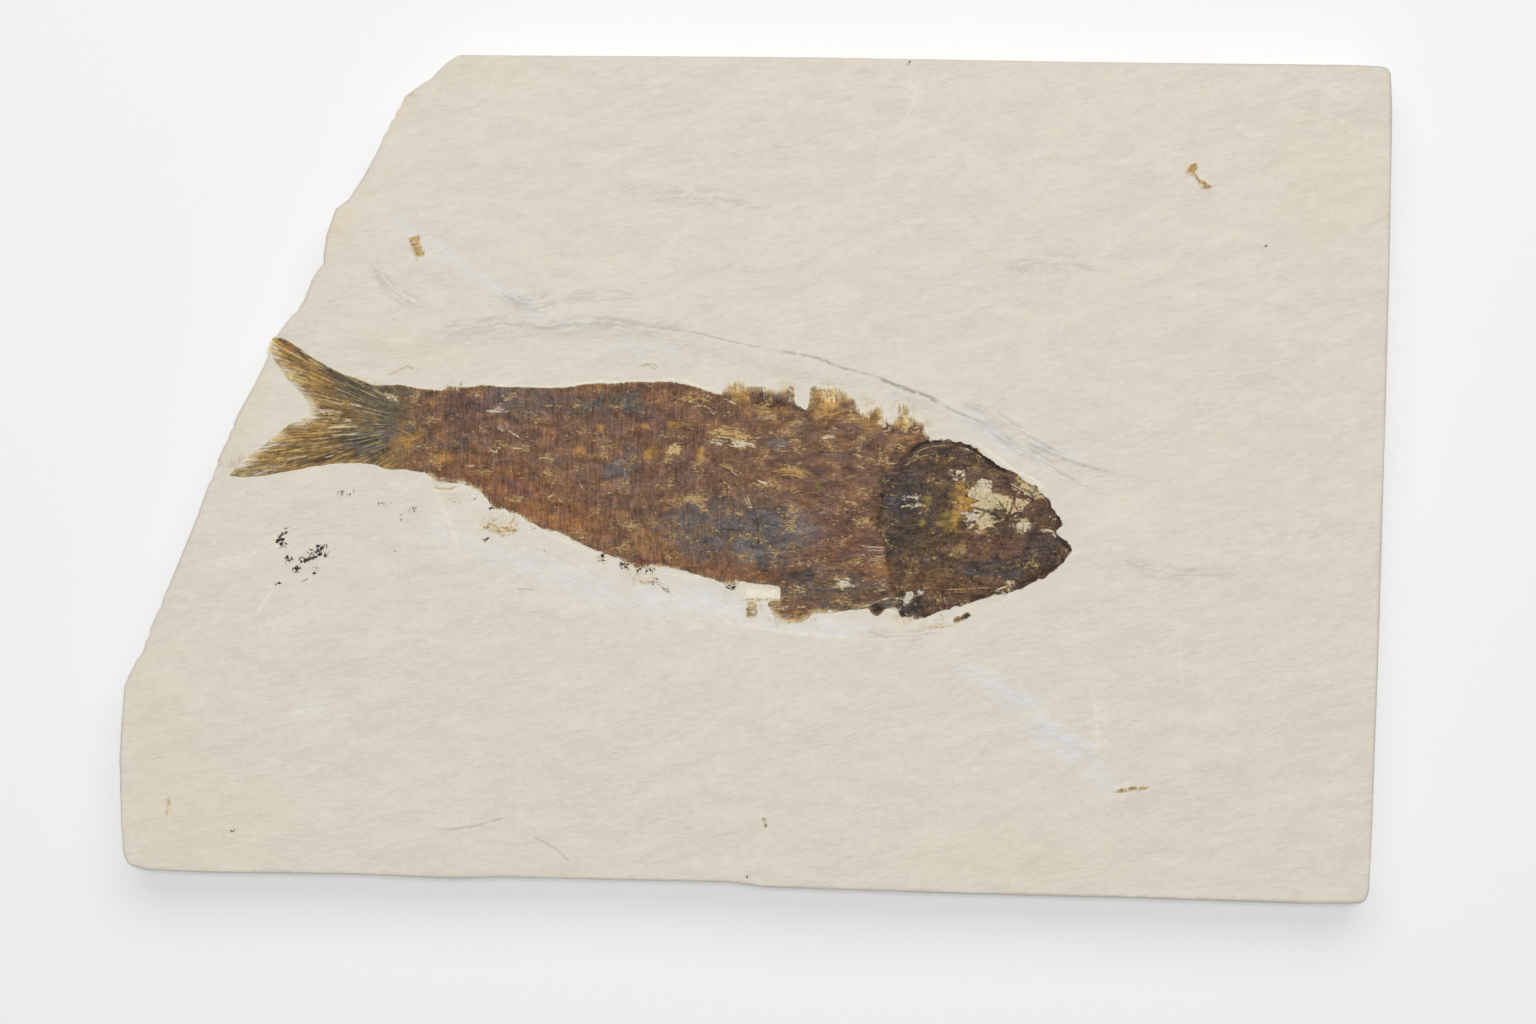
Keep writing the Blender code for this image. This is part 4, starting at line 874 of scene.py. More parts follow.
# Blooms on the film: middle x and y, half length, half width, turn, paint, strength
BODY_GROUND = [
    (-42.9, 6.9, 8.4, 7.0, 0, "brown", 0.5), (-21.9, 8.4, 12.6, 4.2, 0, "plum", 0.35),
    (-30.3, -2.9, 12.6, 4.2, -22, "rust", 0.45), (-7.8, -5.7, 12.6, 4.2, 0, "grey_brown", 0.25),
    (9.0, 1.3, 8.4, 7.0, 0, "plum", 0.25), (-7.8, 5.5, 8.4, 2.5, 0, "umber", 0.3),
]
TAIL_BLOOMS = [
    (-64.0, 15.1, 8.1, 4.2, -38, "ray_gold", 1.0), (-70.3, 1.3, 7.9, 2.0, 8, "ray_gold", 1.0),
    (-61.2, 4.1, 7.0, 2.8, 8, "ray_brown", 0.95), (-59.1, 9.8, 6.2, 3.6, 0, "ray_brown", 0.85),
    (-56.7, 13.1, 7.0, 2.1, -27, "ray_slate", 0.9), (-52.1, 10.5, 4.8, 5.1, 0, "ray_slate", 0.95),
    (-55.6, 5.5, 4.8, 2.8, 0, "ray_slate", 0.85), (-64.0, 16.5, 6.2, 1.4, -38, "gold", 0.35),
    (-64.0, 12.8, 2.2, 1.4, -20, "pale_gold", 0.5), (-69.3, 1.2, 5.6, 0.8, 8, "ray_brown", 0.6),
    (-65.4, 2.5, 5.6, 0.8, 10, "ray_brown", 0.5), (-65.1, 3.4, 6.5, 2.1, 10, "ray_gold", 0.9),
    (-60.1, 7.8, 4.2, 1.7, 0, "ray_gold", 0.75), (-59.8, 8.6, 3.1, 1.1, 5, "sand", 0.5),
    (-65.4, 18.7, 4.8, 0.4, -38, "umber", 0.6), (-58.4, 14.5, 5.6, 0.6, -27, "charcoal", 0.55),
    (-55.4, 4.7, 2.5, 1.3, 5, "slate_blue", 0.85), (-51.9, 6.9, 2.2, 1.4, 0, "slate_blue", 0.6),
    (-52.3, 4.1, 1.7, 0.7, 25, "soot", 0.6), (-60.9, 2.9, 6.2, 0.7, 9, "dark_brown", 0.75),
    (-68.2, 0.4, 4.8, 0.5, 6, "dark_brown", 0.65), (-64.5, 15.4, 1.7, 0.3, -28, "cream", 0.9),
    (-51.4, 11.7, 1.3, 0.6, -30, "cream", 0.75), (-50.5, 10.6, 0.6, 0.4, 0, "cream", 0.6),
    (-60.1, 9.2, 1.3, 0.3, -8, "cream", 0.8), (-53.9, 13.0, 2.5, 0.3, -20, "soot", 0.6),
]
REAR_BLOOMS = [
    (-40.7, 9.5, 3.4, 3.8, 0, "plum", 0.75), (-33.1, 10.9, 5.6, 2.8, 0, "slate_violet", 0.7),
    (-47.1, 9.5, 2.5, 2.2, 0, "brown", 0.7), (-47.4, 7.2, 2.0, 1.4, 0, "slate", 0.35),
    (-44.1, 3.0, 1.7, 1.3, 0, "amber", 0.75), (-48.0, 6.0, 2.0, 0.6, 40, "amber", 0.7),
    (-49.2, 5.0, 1.4, 0.4, -40, "gold", 0.6), (-36.8, 9.6, 2.0, 1.0, 0, "pink_grey", 0.68),
    (-34.2, 6.7, 1.7, 0.3, -45, "cream", 0.8), (-37.0, 3.9, 0.6, 0.4, 0, "bone", 0.8),
    (-40.1, 1.9, 0.6, 0.4, 0, "cream", 0.8), (-29.2, 3.0, 1.0, 1.0, 0, "sand", 0.75),
    (-35.9, -0.6, 8.1, 2.5, -25, "rust", 0.7), (-29.6, -5.7, 7.3, 1.7, -22, "orange", 0.65),
    (-42.2, 13.1, 2.0, 0.3, 0, "soot", 0.9), (-44.3, 0.9, 2.2, 0.7, -15, "rust", 0.4),
    (-48.3, 2.3, 0.8, 0.6, 0, "cream", 0.6), (-51.4, 3.7, 1.0, 0.4, 30, "cream", 0.6),
    (-47.8, 11.9, 1.7, 0.8, 0, "sand", 0.4), (-45.7, 12.3, 1.4, 0.7, 0, "soot", 0.5),
    (-30.3, 6.9, 3.1, 2.0, 0, "brown", 0.5), (-42.7, 5.5, 2.8, 1.4, 10, "grey_brown", 0.4),
    (-31.7, -1.8, 3.1, 1.7, 0, "sand", 0.25), (-33.1, 9.8, 2.2, 0.6, 0, "slate_brown", 0.6),
]
MIDDLE_BLOOMS = [
    (-20.2, 10.7, 6.5, 1.8, 0, "slate_brown", 0.95), (-17.4, 10.9, 2.5, 1.0, 0, "slate", 0.6),
    (-23.3, 10.5, 1.4, 0.6, 0, "slate_blue", 0.45), (-19.4, 1.2, 2.1, 1.8, 10, "blue_grey", 0.9),
    (-17.4, 3.9, 1.1, 1.7, 0, "slate_blue", 0.4), (-21.7, 7.1, 0.7, 0.7, 0, "amber", 0.85),
    (-15.7, 7.5, 0.8, 0.5, 0, "gold", 0.8), (-11.6, 4.4, 1.1, 0.9, -30, "straw", 0.8),
    (-15.0, 3.6, 1.1, 0.7, 20, "gold", 0.8), (-24.5, 4.0, 0.8, 0.8, 0, "amber", 0.8),
    (-29.3, 6.9, 1.1, 0.8, 0, "orange", 0.6), (-11.1, 7.6, 1.4, 0.4, 0, "gold", 0.75),
    (-7.7, 3.7, 0.6, 0.8, 0, "gold", 0.6), (-9.1, 10.9, 2.5, 0.4, -8, "straw", 0.75),
    (-4.2, 6.4, 3.6, 0.8, -8, "straw", 0.66), (-1.5, 4.8, 2.7, 0.6, -5, "cream", 0.62),
    (-5.6, 5.3, 1.7, 0.4, -5, "cream", 0.58), (1.1, 8.8, 1.5, 0.7, 0, "sand", 0.75),
    (-6.6, 9.8, 2.0, 0.7, -15, "umber", 0.6), (-13.5, 11.2, 2.8, 1.3, 0, "rust", 0.55),
    (-16.3, 12.8, 8.4, 0.5, 0, "umber", 0.5), (-7.8, 10.9, 5.6, 0.7, -12, "umber", 0.5),
    (3.2, 4.8, 1.7, 1.1, -10, "blue_grey", 0.55), (5.8, 1.2, 2.1, 0.4, -10, "gold", 0.8),
    (8.9, -0.6, 0.7, 0.7, 0, "olive", 0.9), (10.0, 6.0, 1.4, 0.3, 15, "cream", 0.75),
    (9.3, 5.4, 1.7, 0.3, 5, "sand", 0.6), (12.9, -3.0, 1.3, 0.4, -20, "sand", 0.85),
    (-8.1, -3.0, 2.5, 1.0, 0, "sand", 0.72), (-4.8, -2.7, 1.3, 0.5, 0, "pink_grey", 0.7),
    (-7.0, -6.9, 6.7, 3.9, 0, "slate_violet", 0.95), (1.7, -7.4, 6.5, 4.5, 0, "slate_violet", 0.95),
    (-1.5, -10.2, 2.8, 1.7, 0, "blue_grey", 0.35), (-2.2, -2.9, 4.2, 1.0, 8, "grey_brown", 0.6),
    (-1.7, -9.2, 1.0, 0.4, 0, "blue_grey", 0.5), (0.3, -7.5, 0.2, 2.2, 0, "soot", 0.6),
    (1.0, -11.3, 1.1, 1.1, 0, "blue_grey", 0.5), (-0.5, -4.6, 0.2, 1.4, 15, "bone", 0.5),
    (5.5, -5.0, 1.4, 0.4, 0, "blue_grey", 0.8), (7.0, -7.1, 2.8, 1.7, 0, "blue_grey", 0.45),
    (12.9, -9.6, 4.2, 3.9, 0, "maroon", 0.85), (11.5, -5.7, 3.9, 1.7, 0, "plum", 0.5),
    (18.0, -12.1, 1.3, 1.0, 0, "orange", 0.8), (-27.5, -5.0, 4.5, 2.0, -15, "orange", 0.55),
    (-23.0, -6.2, 3.1, 1.5, -12, "orange", 0.5), (-14.9, -8.6, 3.4, 1.5, -8, "amber", 0.4),
    (-17.7, -7.4, 2.0, 1.4, 0, "sand", 0.35), (-15.8, -11.7, 6.2, 0.6, -3, "rust", 0.7),
    (-13.2, -10.6, 3.9, 0.8, -6, "orange", 0.6), (-7.8, -12.1, 5.6, 0.7, -6, "rust", 0.6),
    (-1.2, -13.4, 7.0, 0.6, -7, "rust", 0.75), (4.8, -14.0, 3.1, 2.0, 0, "dark_brown", 0.7),
    (8.0, -13.1, 2.5, 1.7, 0, "slate_violet", 0.7), (7.7, -12.7, 1.1, 1.0, 0, "soot", 0.4),
    (10.7, -15.8, 7.3, 2.4, 0, "slate_brown", 0.85), (13.5, -14.5, 2.5, 1.0, 0, "shell", 0.6),
    (17.1, -15.5, 2.8, 0.8, 14, "sand", 0.5), (17.7, -15.8, 2.2, 0.6, 14, "soot", 0.5),
    (13.2, -14.1, 2.8, 0.4, -4, "cream", 0.66), (11.9, -17.8, 4.8, 1.0, 10, "slate_brown", 0.6),
    (15.2, -16.5, 2.5, 0.7, 8, "umber", 0.5), (4.9, -17.5, 2.8, 1.5, 0, "brown", 0.7),
    (4.8, -17.9, 3.6, 0.3, 3, "straw", 0.66), (6.5, -18.6, 2.8, 0.2, 3, "gold", 0.66),
    (4.2, -19.2, 3.1, 0.22, 4, "straw", 0.62), (5.6, -19.9, 3.4, 0.4, 5, "gold", 0.8),
    (2.3, -17.6, 1.3, 0.2, 0, "straw", 0.6), (3.7, -18.6, 2.8, 0.22, 4, "dark_brown", 0.6),
    (9.0, -12.7, 4.2, 0.8, 0, "grey_brown", 0.4), (-13.5, 1.3, 8.4, 2.5, 0, "plum", 0.35),
    (-21.9, -0.8, 7.0, 1.7, 0, "brown", 0.35), (0.6, 2.7, 7.0, 1.7, 0, "plum", 0.35),
    (14.6, 4.1, 3.4, 3.1, 0, "plum", 0.45), (16.0, -0.1, 2.2, 1.4, 0, "mauve", 0.5),
    (9.0, -8.5, 3.6, 1.4, 0, "mauve", 0.35), (-7.6, 12.6, 5.1, 0.4, -20, "umber", 0.7),
    (-23.6, -2.9, 5.6, 1.1, -6, "plum", 0.3), (-25.4, 1.3, 2.8, 1.4, 0, "sand", 0.22),
    (-27.2, 3.4, 3.4, 2.0, 0, "sand", 0.22),
]
TUFT_BLOOMS = [
    (-2.8, 12.7, 1.8, 1.7, 0, "ochre", 1.0), (1.7, 11.4, 3.1, 1.7, 0, "umber", 1.0),
    (3.1, 10.6, 1.7, 1.0, 0, "dark_brown", 0.8), (4.5, 11.9, 1.0, 1.1, 0, "brown", 0.8),
    (5.8, 10.0, 1.4, 0.4, -20, "soot", 0.8), (0.2, 12.3, 0.8, 0.6, 0, "soot", 0.5),
    (10.4, 11.2, 2.8, 2.2, 0, "ochre", 1.0), (12.6, 10.5, 0.7, 0.6, 0, "dark_brown", 0.6),
    (11.5, 9.5, 1.4, 0.7, 0, "brown", 0.5), (14.8, 9.6, 1.8, 1.3, 0, "straw", 0.8),
    (17.4, 8.9, 1.3, 1.4, 0, "ochre", 0.95), (15.7, 9.1, 0.7, 0.6, 0, "umber", 0.5),
    (16.6, 10.2, 0.7, 0.4, 0, "umber", 0.5), (18.1, 7.6, 1.0, 1.1, 0, "cream", 0.85),
    (18.7, 7.8, 0.4, 0.4, 0, "soot", 0.9), (18.0, 7.1, 0.4, 0.3, 0, "soot", 0.7),
    (19.2, 6.7, 0.3, 0.4, 0, "soot", 0.6), (20.6, 9.2, 1.3, 1.7, 0, "ochre", 0.95),
    (20.1, 10.5, 0.7, 0.6, 0, "umber", 0.6), (22.2, 7.6, 1.4, 1.3, 0, "straw", 0.75),
    (20.9, 6.0, 2.2, 0.7, 0, "ochre", 0.5), (7.6, 8.1, 4.2, 0.7, -8, "umber", 0.5),
    (15.2, 7.8, 2.5, 0.7, -18, "ochre", 0.5), (1.7, 9.5, 3.6, 0.6, 0, "ochre", 0.45),
]
HEAD_BLOOMS = [
    (21.3, -3.6, 4.8, 7.0, 0, "charcoal", 0.9), (20.2, -2.3, 2.2, 2.2, 0, "slate_blue", 0.5),
    (22.8, -7.8, 3.6, 2.8, 0, "umber_black", 0.6), (25.1, 2.9, 5.6, 2.1, -5, "umber_black", 0.85),
    (25.8, -2.9, 2.2, 3.6, 0, "umber_black", 0.6), (18.7, -1.1, 1.3, 2.8, 20, "charcoal", 0.85),
    (18.0, -4.6, 1.1, 2.5, 0, "charcoal", 0.85), (19.2, -9.9, 1.4, 2.8, -15, "charcoal", 0.8),
    (19.8, 1.9, 1.7, 1.0, 45, "umber_black", 0.8), (21.9, 4.4, 1.7, 0.6, 25, "umber", 0.7),
    (23.9, 5.1, 2.0, 0.3, 10, "soot", 0.95), (28.1, 5.1, 0.8, 0.6, 0, "soot", 1.0),
    (30.6, 4.0, 2.0, 0.3, -28, "soot", 0.9), (33.0, 2.2, 2.1, 0.4, -40, "soot", 0.8),
    (27.0, 3.9, 2.2, 0.7, 0, "charcoal", 0.5), (34.3, 0.5, 2.8, 1.0, -35, "umber_black", 0.8),
    (31.2, 3.2, 0.8, 1.3, -20, "straw", 0.9), (30.6, 2.0, 1.3, 0.7, -20, "khaki", 0.65),
    (32.2, 1.3, 2.0, 0.7, -35, "umber_black", 0.5), (28.6, 0.5, 1.5, 1.1, -20, "cream", 0.9),
    (27.0, -0.5, 1.0, 0.8, 0, "olive_brown", 0.7), (29.8, -1.1, 1.4, 0.6, -20, "soot", 0.75),
    (30.9, -0.6, 0.7, 0.4, 0, "maroon", 0.6), (28.2, -0.8, 0.4, 0.3, 0, "soot", 0.7),
    (29.2, -3.0, 1.8, 2.4, 15, "marigold", 1.0), (28.2, -5.3, 2.5, 1.8, 30, "marigold", 0.9),
    (27.1, -6.2, 1.7, 1.3, -10, "olive_gold", 0.85), (28.2, -6.8, 1.0, 0.7, -30, "amber", 0.7),
    (26.3, -5.5, 0.7, 0.8, 0, "olive_gold", 0.8), (29.3, -6.5, 0.8, 1.0, 0, "charcoal", 0.85),
    (27.9, -7.6, 2.0, 0.7, -5, "umber_black", 0.7), (24.0, -2.9, 0.8, 1.1, 0, "olive_gold", 0.95),
    (23.6, -3.7, 0.6, 0.6, 0, "marigold", 0.5), (23.3, -6.2, 0.6, 0.7, 0, "olive_gold", 0.9),
    (22.2, -3.7, 1.5, 1.5, 0, "bone", 0.9), (21.5, -3.2, 0.4, 0.4, 0, "soot", 0.6),
    (22.8, -4.4, 0.4, 0.3, 0, "soot", 0.6), (21.9, -4.7, 0.8, 0.4, 30, "soot", 0.5),
    (32.2, -2.6, 2.9, 2.1, 5, "straw", 1.0), (32.0, -2.3, 2.0, 1.3, 5, "cream", 1.0),
    (34.5, -4.0, 3.8, 2.4, -5, "wheat", 1.0), (32.0, -6.4, 2.0, 1.5, -30, "wheat", 1.0),
    (30.0, -5.1, 1.3, 1.1, 0, "bone", 1.0), (36.8, -6.8, 2.4, 0.8, 18, "cream", 0.8),
    # The umber and taupe blooms at (34.1, -1.6) and (34.3, -1.8) are painted shade along the top of the sunk
    # orbit
    (32.3, -0.9, 1.5, 0.8, 0, "cream", 0.9), (34.1, -1.6, 2.1, 0.7, -8, "umber", 0.35),
    (34.3, -1.8, 1.7, 0.4, -8, "taupe", 0.8), (33.8, -4.6, 1.0, 0.8, 0, "olive_brown", 0.55),
    (34.7, -5.1, 1.4, 0.4, -12, "umber", 0.5), (32.0, -7.4, 0.7, 0.4, 0, "gold", 0.6),
    (35.9, -3.7, 0.2, 1.3, -20, "amber", 0.5), (35.1, -3.9, 0.2, 1.1, -15, "amber", 0.4),
    (36.8, -3.4, 0.2, 1.1, -25, "umber", 0.35), (35.7, -1.1, 1.7, 0.5, -15, "umber", 0.7),
    (37.9, -4.4, 0.6, 1.1, 10, "umber_black", 0.6), (36.2, -5.8, 1.1, 0.3, 20, "umber_black", 0.7),
    (38.8, -3.2, 2.2, 1.7, -30, "maroon", 0.85), (38.6, -0.9, 3.1, 0.9, -38, "straw", 0.9),
    (39.3, -2.2, 2.0, 0.3, -42, "straw", 0.6), (39.9, -3.3, 0.7, 0.7, 0, "umber", 0.6),
    (37.3, -1.8, 1.4, 0.4, -20, "cream", 0.6), (40.4, -4.8, 1.5, 1.3, 0, "umber_black", 0.7),
    (41.6, -4.7, 0.6, 1.3, 15, "soot", 0.6), (42.4, -6.0, 0.6, 1.1, -5, "soot", 0.85),
    (40.7, -3.9, 0.6, 0.3, -30, "sand", 0.5), (41.0, -7.2, 1.4, 0.3, 0, "bone", 1.0),
    (42.0, -7.9, 0.4, 0.4, 0, "bone", 0.9), (42.4, -6.8, 0.2, 0.7, 0, "soot", 0.9),
    (43.0, -8.6, 0.8, 0.7, -30, "soot", 0.9), (43.8, -9.9, 0.5, 1.0, 20, "soot", 0.7),
    (39.3, -9.9, 5.1, 2.8, 12, "plum_black", 0.95), (39.9, -7.6, 2.2, 1.0, 10, "umber_black", 0.6),
    (37.6, -12.1, 4.2, 1.5, 20, "charcoal", 0.75), (40.3, -10.7, 2.0, 1.4, 10, "umber_black", 0.5),
    (33.7, -9.3, 3.9, 1.8, 0, "maroon", 0.75), (34.3, -7.4, 2.8, 0.7, 0, "umber_black", 0.6),
    (38.5, -8.6, 3.1, 0.7, -5, "umber_black", 0.6), (32.6, -12.6, 5.6, 1.5, 6, "violet_black", 0.95),
    (28.6, -10.3, 1.4, 1.5, 0, "khaki", 0.85), (28.8, -10.7, 0.8, 0.7, 0, "olive_brown", 0.3),
    (35.7, -10.3, 0.8, 0.4, 0, "taupe", 0.5), (35.4, -11.6, 0.7, 0.4, 0, "cream", 0.45),
    (33.7, -8.2, 0.7, 0.4, 0, "sand", 0.45), (40.2, -8.6, 1.1, 0.4, -10, "sand", 0.45),
    (39.2, -9.8, 0.7, 0.4, 0, "taupe", 0.4), (22.9, -10.6, 4.2, 3.1, 0, "umber_black", 0.45),
    (23.7, -9.6, 1.7, 1.1, 0, "olive_brown", 0.6), (22.3, -10.7, 0.7, 0.6, 0, "khaki", 0.55),
    (24.7, -10.2, 1.1, 0.6, 0, "umber", 0.4), (20.2, -12.1, 2.0, 1.3, 0, "umber_black", 0.6),
    (26.1, -11.3, 1.1, 1.1, 0, "umber", 0.5), (23.3, -14.5, 4.8, 1.8, 0, "umber", 0.55),
    (24.4, -14.1, 3.4, 1.4, 0, "ray_brown", 0.45), (26.5, -16.5, 4.2, 1.3, 8, "umber", 0.7),
    (18.0, -12.4, 1.3, 1.1, 0, "orange", 0.75), (21.3, -18.3, 3.1, 1.3, 0, "charcoal", 0.95),
    (21.9, -16.5, 1.5, 1.1, -15, "bone", 1.0), (20.6, -16.1, 0.4, 0.7, 0, "soot", 0.8),
    (22.8, -17.2, 0.6, 0.8, 0, "soot", 0.7), (24.7, -17.9, 2.2, 0.8, 10, "umber_black", 0.6),
    (17.0, -18.2, 1.4, 0.8, 20, "soot", 1.0), (18.5, -17.3, 1.4, 0.6, 25, "slate", 0.7),
    # The bone spot at (16.3, -17.8), on the soot blob at (17.0, -18.2), is a painted highlight
    (19.8, -16.8, 0.8, 0.3, 15, "bone", 0.7), (16.3, -17.8, 0.4, 0.3, 0, "bone", 0.5),
    (33.4, -16.1, 1.5, 0.5, 22, "soot", 0.75), (35.7, -14.7, 0.7, 1.1, 15, "cream", 0.85),
    (35.0, -14.9, 0.4, 0.7, 10, "marigold", 0.6), (36.1, -15.5, 0.7, 0.7, 0, "umber", 0.6),
    (38.5, -13.8, 3.6, 0.8, 26, "umber_black", 0.7), (20.5, -20.0, 0.8, 0.7, 0, "ochre", 0.9),
    (41.0, -12.3, 2.2, 0.4, 38, "soot", 0.6),
]
# Fine bones, scale edges and cracks: half width, strength and the points that each follows
CREAM_HAIRS = [
    (0.11, 0.9, [(-35.8, 7.6), (-34.8, 6.9), (-34.0, 6.4), (-33.1, 5.8)]),
    (0.08, 0.7, [(-36.3, 7.4), (-35.5, 6.7)]),
    (0.13, 0.8, [(-37.9, 9.6), (-36.9, 9.6), (-35.9, 9.5)]),
    (0.07, 0.6, [(-36.3, 10.6), (-35.5, 10.6)]),
    (0.1, 0.7, [(-34.1, 4.4), (-32.8, 4.3)]),
    (0.07, 0.6, [(-37.3, 4.3), (-36.8, 3.7), (-37.0, 3.3)]),
    (0.14, 0.7, [(-40.5, 1.9), (-39.6, 1.9)]),
    (0.11, 0.7, [(-20.9, 3.2), (-20.8, 2.7)]),
    (0.11, 0.7, [(-20.9, -2.0), (-20.2, -1.9)]),
    (0.1, 0.7, [(-29.0, -2.5), (-28.5, -2.2)]),
    (0.1, 0.7, [(-27.6, -2.9), (-27.2, -3.2)]),
    (0.1, 0.6, [(-24.7, -0.6), (-24.3, -1.3)]),
    (0.07, 0.5, [(-29.6, 10.3), (-28.6, 10.3)]),
    (0.1, 0.8, [(-9.2, 9.9), (-8.3, 10.3), (-7.3, 10.3), (-6.4, 9.9)]),
    (0.11, 0.8, [(-4.5, 11.3), (-3.6, 10.9), (-2.8, 10.5)]),
    (0.11, 0.7, [(-6.0, 9.3), (-5.9, 8.9)]),
    (0.08, 0.8, [(-5.5, 6.0), (-4.1, 5.8), (-2.8, 5.5)]),
    (0.1, 0.9, [(-5.6, 5.1), (-4.8, 5.0)]),
    (0.14, 0.9, [(-2.2, 5.1), (-1.2, 5.0), (-0.3, 4.8)]),
    (0.08, 0.7, [(-0.1, 5.8), (0.7, 5.8)]),
    (0.08, 0.8, [(3.0, 4.8), (3.9, 4.6)]),
    (0.14, 1.0, [(0.3, -0.2), (1.0, -0.5), (1.6, -0.6)]),
    (0.08, 0.8, [(-3.6, 1.3), (-2.7, 0.6), (-1.8, 0.4)]),
    (0.07, 0.6, [(-2.0, -1.2), (-1.4, -1.8)]),
    (0.06, 0.7, [(-1.2, -2.2), (-0.8, -3.2)]),
    (0.06, 0.6, [(-1.7, -2.5), (-1.1, -3.6)]),
    (0.1, 0.7, [(-11.6, 5.0), (-11.1, 4.6), (-10.8, 4.1)]),
    (0.1, 0.9, [(8.9, 5.4), (9.6, 5.8), (10.5, 6.0), (11.2, 5.8)]),
    (0.08, 0.7, [(9.1, 5.7), (10.1, 6.2), (11.1, 6.1)]),
    (0.08, 0.6, [(10.7, 7.2), (11.5, 7.1)]),
    (0.1, 0.7, [(14.2, 3.3), (14.8, 3.2)]),
    (0.1, 0.7, [(18.7, 2.2), (19.5, 2.2)]),
    (0.11, 0.9, [(19.2, 0.9), (20.1, 0.9)]),
    (0.08, 0.7, [(14.6, 1.8), (15.2, 1.5)]),
    (0.08, 0.5, [(21.9, 3.0), (23.0, 4.0), (24.7, 4.6), (27.0, 4.7)]),
    (0.07, 0.4, [(21.8, 2.3), (23.2, 3.2), (24.4, 3.4)]),
    (0.1, 0.8, [(29.2, 4.4), (30.0, 4.1)]),
    (0.07, 0.6, [(20.9, 1.9), (21.9, 2.5)]),
    (0.1, 0.8, [(36.9, 0.5), (38.5, -0.6), (39.7, -1.8), (40.7, -2.9)]),
    (0.1, 0.7, [(35.7, -0.6), (37.3, -1.5), (38.8, -2.6)]),
    (0.08, 0.6, [(36.4, 0.1), (38.2, -1.3), (39.5, -2.6)]),
    (0.14, 0.85, [(12.2, -18.9), (14.2, -18.2), (16.3, -17.5), (18.0, -16.9), (18.8, -16.6)]),
    (0.13, 0.9, [(32.0, -16.9), (32.9, -16.5), (33.8, -16.1)]),
    (0.11, 0.9, [(33.7, -15.6), (34.7, -15.2), (35.5, -14.8)]),
    (0.1, 0.8, [(35.4, -14.4), (35.8, -15.2)]),
    (0.14, 0.9, [(39.9, -7.2), (40.9, -7.1), (41.8, -7.4)]),
    (0.06, 0.9, [(14.6, -9.3), (16.4, -9.5), (18.1, -9.6)]),
    (0.06, 0.8, [(14.0, -9.9), (16.0, -10.0), (18.0, -10.0)]),
    (0.06, 0.8, [(14.6, -10.6), (16.3, -10.7), (17.7, -10.9)]),
    (0.06, 0.6, [(15.5, -11.3), (17.1, -11.4)]),
    (0.13, 0.8, [(5.9, -15.0), (6.0, -15.2)]),
    (0.11, 0.7, [(-67.2, 15.2), (-65.4, 15.2), (-64.0, 14.8)]),
    (0.1, 0.7, [(-66.8, 14.2), (-65.1, 14.1)]),
    (0.17, 0.95, [(-61.5, 9.5), (-59.8, 9.6), (-58.0, 9.3)]),
    (0.17, 0.95, [(-60.9, 8.2), (-58.7, 8.4), (-56.7, 8.2)]),
    (0.15, 0.9, [(-60.3, 7.1), (-58.1, 7.4), (-55.8, 7.5)]),
    (0.15, 0.9, [(-59.5, 6.0), (-57.7, 6.2), (-55.8, 6.4)]),
    (0.14, 0.8, [(-58.9, 10.7), (-57.0, 10.6), (-55.3, 10.2)]),
    (0.14, 0.8, [(-66.8, 2.5), (-64.8, 2.9), (-62.9, 3.2)]),
    (0.13, 0.7, [(-69.3, 1.6), (-67.4, 1.9)]),
    (0.13, 0.8, [(-52.2, 12.1), (-51.2, 11.6), (-50.2, 10.9)]),
]
